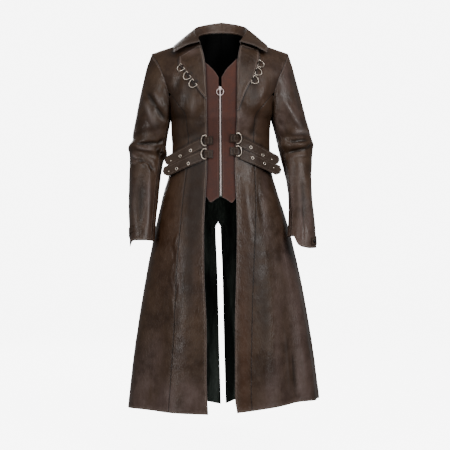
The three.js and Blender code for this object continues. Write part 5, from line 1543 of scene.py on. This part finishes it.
class COAT_OT_zip(bpy.types.Operator):
    """The zip's teeth on their tape, its slider and its round pull"""

    bl_idname = "coat.zip"
    bl_label = "Zip"

    def execute(self, context):
        heights = np.arange(ZIP_FOOT + 4, ZIP_TOP - 4, sizes().tooth_pitch / MM / 2)
        rows = np.linspace(ZIP_FOOT, ZIP_TOP, 40)
        face = zip_face(rows)
        across = np.array((-1, -0.6, -0.25, 0, 0.25, 0.6, 1)) * (ZIP_HALF - 0.3)
        points = face[:, None] + across[None, :, None] * np.array((1.0, 0, 0))
        points[..., 1] += 0.35
        normal = np.broadcast_to((0.0, -1.0, 0.0), points.shape)
        cloth("zip", points, normal, 0.0007, "lining", "stretched", name="zip_tape", rumple=0, slot="lining")
        deselect()
        bpy.ops.mesh.primitive_cube_add(size=1)
        tooth = bpy.context.object
        tooth.name = tooth.data.name = "zip_teeth"
        in_edit_mode(
            tooth,
            lambda: bpy.ops.transform.resize(value=TOOTH),
            lambda: bpy.ops.mesh.bevel(offset=0.0003, segments=1, affect="EDGES"),
        )
        row = []
        for i, (x, y, z) in enumerate(zip_face(heights)):
            one = copied(tooth, f"tooth_{i}")
            shift = TOOTH_SHIFT if i % 2 else -TOOTH_SHIFT
            one.data.transform(Matrix.Translation(Vector((x + shift, y - 0.55, z)) * MM))
            row.append(one)
        choose(row[0])
        for one in row:
            one.select_set(True)
        bpy.ops.object.join()
        teeth = bpy.context.object
        bpy.data.objects.remove(tooth)
        teeth.name = teeth.data.name = "zip_teeth"
        settle(teeth, Matrix(), "zip_metal")
        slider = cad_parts["zip_slider"].data
        slider.materials.clear()
        slider.materials.append(finish_of("zip_metal"))
        head = zip_face(ZIP_TOP - 5.5)
        place = (head, np.array((1.0, 0, 0)), np.array((0, -1.0, 0)), np.array((0, 0, 1.0)))
        hinge = spot(place, 0, PULL_OUT, 0)
        turn = np.linspace(0, 2 * pi, 41)[:-1]
        path = np.stack([PULL_RADIUS * np.sin(turn), PULL_RADIUS * np.cos(turn) - PULL_RADIUS], -1)
        ring = wire_ring("zip_pull_ring", (hinge, *place[1:]), path, 0.8)
        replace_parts(settle(ring, Matrix(), "zip_metal", "zip_pull"), "zip_pull")
        deselect()
        bpy.ops.mesh.primitive_cylinder_add(vertices=12, radius=0.00085, depth=0.0205)
        bar = bpy.context.object
        bar.name = bar.data.name = "zip_pull_bar"
        centre = Vector(hinge) * MM - Vector((0, 0, 0.0133))
        settle(bar, Matrix.Translation(centre), "zip_metal", "zip_pull")
        return {"FINISHED"}


class COAT_OT_cuffs(bpy.types.Operator):
    """Cuff straps and their studs"""

    bl_idname = "coat.cuffs"
    bl_label = "Cuffs"

    def execute(self, context):
        for side in (-1, 1):
            top, foot, stud_at = CUFF_STRAPS[hand(side)]
            turn, down = np.linspace(0.8, 1.3, 31)[:, None], lerp(foot, top, spread(10))[None, :]
            turn, down = np.broadcast_arrays(turn, down)
            normal = sleeve_normal(side, turn, down)
            points = sleeve(side, turn, down) + normal * (0.6 + 1.6)  # its gap and its own leather
            cloth(f"cuff_strap_{hand(side)}", points, normal, 0.0016, "strap", "stretched",
                  free="lrbt", rumple=0.1, inside="strap", rests=[f"upper_sleeve_{hand(side)}"])
            at, low = np.array([stud_at]), np.array([(top + foot) / 2])
            off = sleeve_normal(side, at, low)[0]
            seat = sleeve(side, at, low)[0] + off * 2.7
            deselect()
            bpy.ops.mesh.primitive_uv_sphere_add(segments=28, ring_count=16, radius=sizes().stud)
            stud = bpy.context.object
            stud.name = stud.data.name = f"cuff_stud_{hand(side)}_cap"
            in_edit_mode(
                stud,
                lambda: bpy.ops.mesh.bisect(
                    plane_co=(0, 0, 0), plane_no=(0, 0, -1), use_fill=True, clear_outer=True),
                lambda: bpy.ops.mesh.select_all(action="SELECT"),
                lambda: bpy.ops.transform.resize(value=(1, 1, 0.55), center_override=(0, 0, 0)),
            )
            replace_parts(settle(stud, facing(seat, off), "stud"), f"cuff_stud_{hand(side)}")
        return {"FINISHED"}


# Soft lights: place, power in watts, width and height in metres.
LIGHTS = (
    ("key", (2.2, -3.3, 1.1), 125, 0.9, 2.0),
    ("fill", (-2.3, -3.0, 0.5), 70, 0.6, 2.4),
    ("top", (0.2, -1.6, 2.6), 40, 1.8, 1.2),
    ("back", (-1.2, 3.4, 1.0), 45, 1.2, 2.0),
)
CAMERA_AT, CAMERA_LENS = (0.0116, -4.2, -0.61), 101.8
FLOOR_Z, FLOOR_REACH, FLOOR_BOWL, FLOOR_GLOW = -1.36, 7.0, 1.5, 8.0


class COAT_OT_stage(bpy.types.Operator):
    """Pale floor and backdrop, soft lights and the camera"""

    bl_idname = "coat.stage"
    bl_label = "Studio"

    def execute(self, context):
        scene = context.scene
        turn = np.radians(np.concatenate([[0, 0], np.linspace(0, 90, 12), [90]]))
        reach = FLOOR_REACH + FLOOR_BOWL * np.sin(turn)
        z = FLOOR_Z + FLOOR_BOWL * (1 - np.cos(turn))
        reach[0], z[-1] = 1e-4, 8  # the middle of the floor, and the wall's top
        around = np.linspace(0, 2 * pi, 49)[None, :]
        bowl = vec(reach[:, None] * np.cos(around), reach[:, None] * np.sin(around), z[:, None]) / MM
        floor = shape_grid("floor", bowl)[0]
        f = Finish("studio_floor", Roughness=0.9, Emission_Strength=FLOOR_GLOW)
        speck = f.noise(f.object_place(), 3.0)
        tone = f.mix(speck * 0.04, colours().floor, FLOOR_PALE)
        floor.data.materials.append(f.finish(Base_Color=tone, Emission_Color=tone))
        floor.visible_diffuse = floor.visible_glossy = False
        scene.world = bpy.data.worlds.new("studio")
        scene.world.use_nodes = True
        sky = scene.world.node_tree.nodes["Background"].inputs
        sky["Color"].default_value = (1.0, 1.0, 1.0, 1)
        sky["Strength"].default_value = 0.26
        for name, place, power, width, height in LIGHTS:
            lamp = bpy.data.lights.new(name, "AREA")
            lamp.shape, lamp.size, lamp.size_y, lamp.energy = "RECTANGLE", width, height, power
            light = bpy.data.objects.new(name, lamp)
            light.location = place
            aim = Vector((0, 0, -0.5)) - Vector(place)
            light.rotation_euler = aim.to_track_quat("-Z", "Y").to_euler()
            scene.collection.objects.link(light)
        lens = bpy.data.cameras.new("camera")
        lens.sensor_width, lens.lens, lens.clip_end = 36, CAMERA_LENS, 60
        camera = bpy.data.objects.new("camera", lens)
        camera.location, camera.rotation_euler = CAMERA_AT, (pi / 2, 0, 0)
        scene.collection.objects.link(camera)
        scene.camera = camera
        return {"FINISHED"}


OPERATORS = (
    COAT_OT_stage, COAT_OT_fronts, COAT_OT_backs, COAT_OT_linings, COAT_OT_sleeves, COAT_OT_lapels,
    COAT_OT_collar, COAT_OT_waistcoat, COAT_OT_straps, COAT_OT_studding, COAT_OT_waist_rings,
    COAT_OT_lapel_rings, COAT_OT_zip, COAT_OT_cuffs,
)


class COAT_PT_panel(bpy.types.Panel):
    """The coat's pieces, sizes and colours"""

    bl_label = "Trench Coat"
    bl_idname = "COAT_PT_panel"
    bl_space_type = "VIEW_3D"
    bl_region_type = "UI"
    bl_category = "Coat"

    def draw(self, context):
        for operator in OPERATORS:
            self.layout.operator(operator.bl_idname)
        for group in (context.scene.coat_sizes, context.scene.coat_colours):
            box = self.layout.box()
            for key in group.__annotations__:
                box.prop(group, key)


CLASSES = (CoatSizes, CoatColours, *OPERATORS, COAT_PT_panel)


def register():
    for kind in CLASSES:
        bpy.utils.register_class(kind)
    bpy.types.Scene.coat_sizes = PointerProperty(type=CoatSizes)
    bpy.types.Scene.coat_colours = PointerProperty(type=CoatColours)


def unregister():
    del bpy.types.Scene.coat_sizes, bpy.types.Scene.coat_colours
    for kind in reversed(CLASSES):
        bpy.utils.unregister_class(kind)


def main():
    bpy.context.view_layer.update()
    register()
    for operator in OPERATORS:
        group, name = operator.bl_idname.split(".")
        getattr(getattr(bpy.ops, group), name)()


if __name__ == "__main__":
    main()
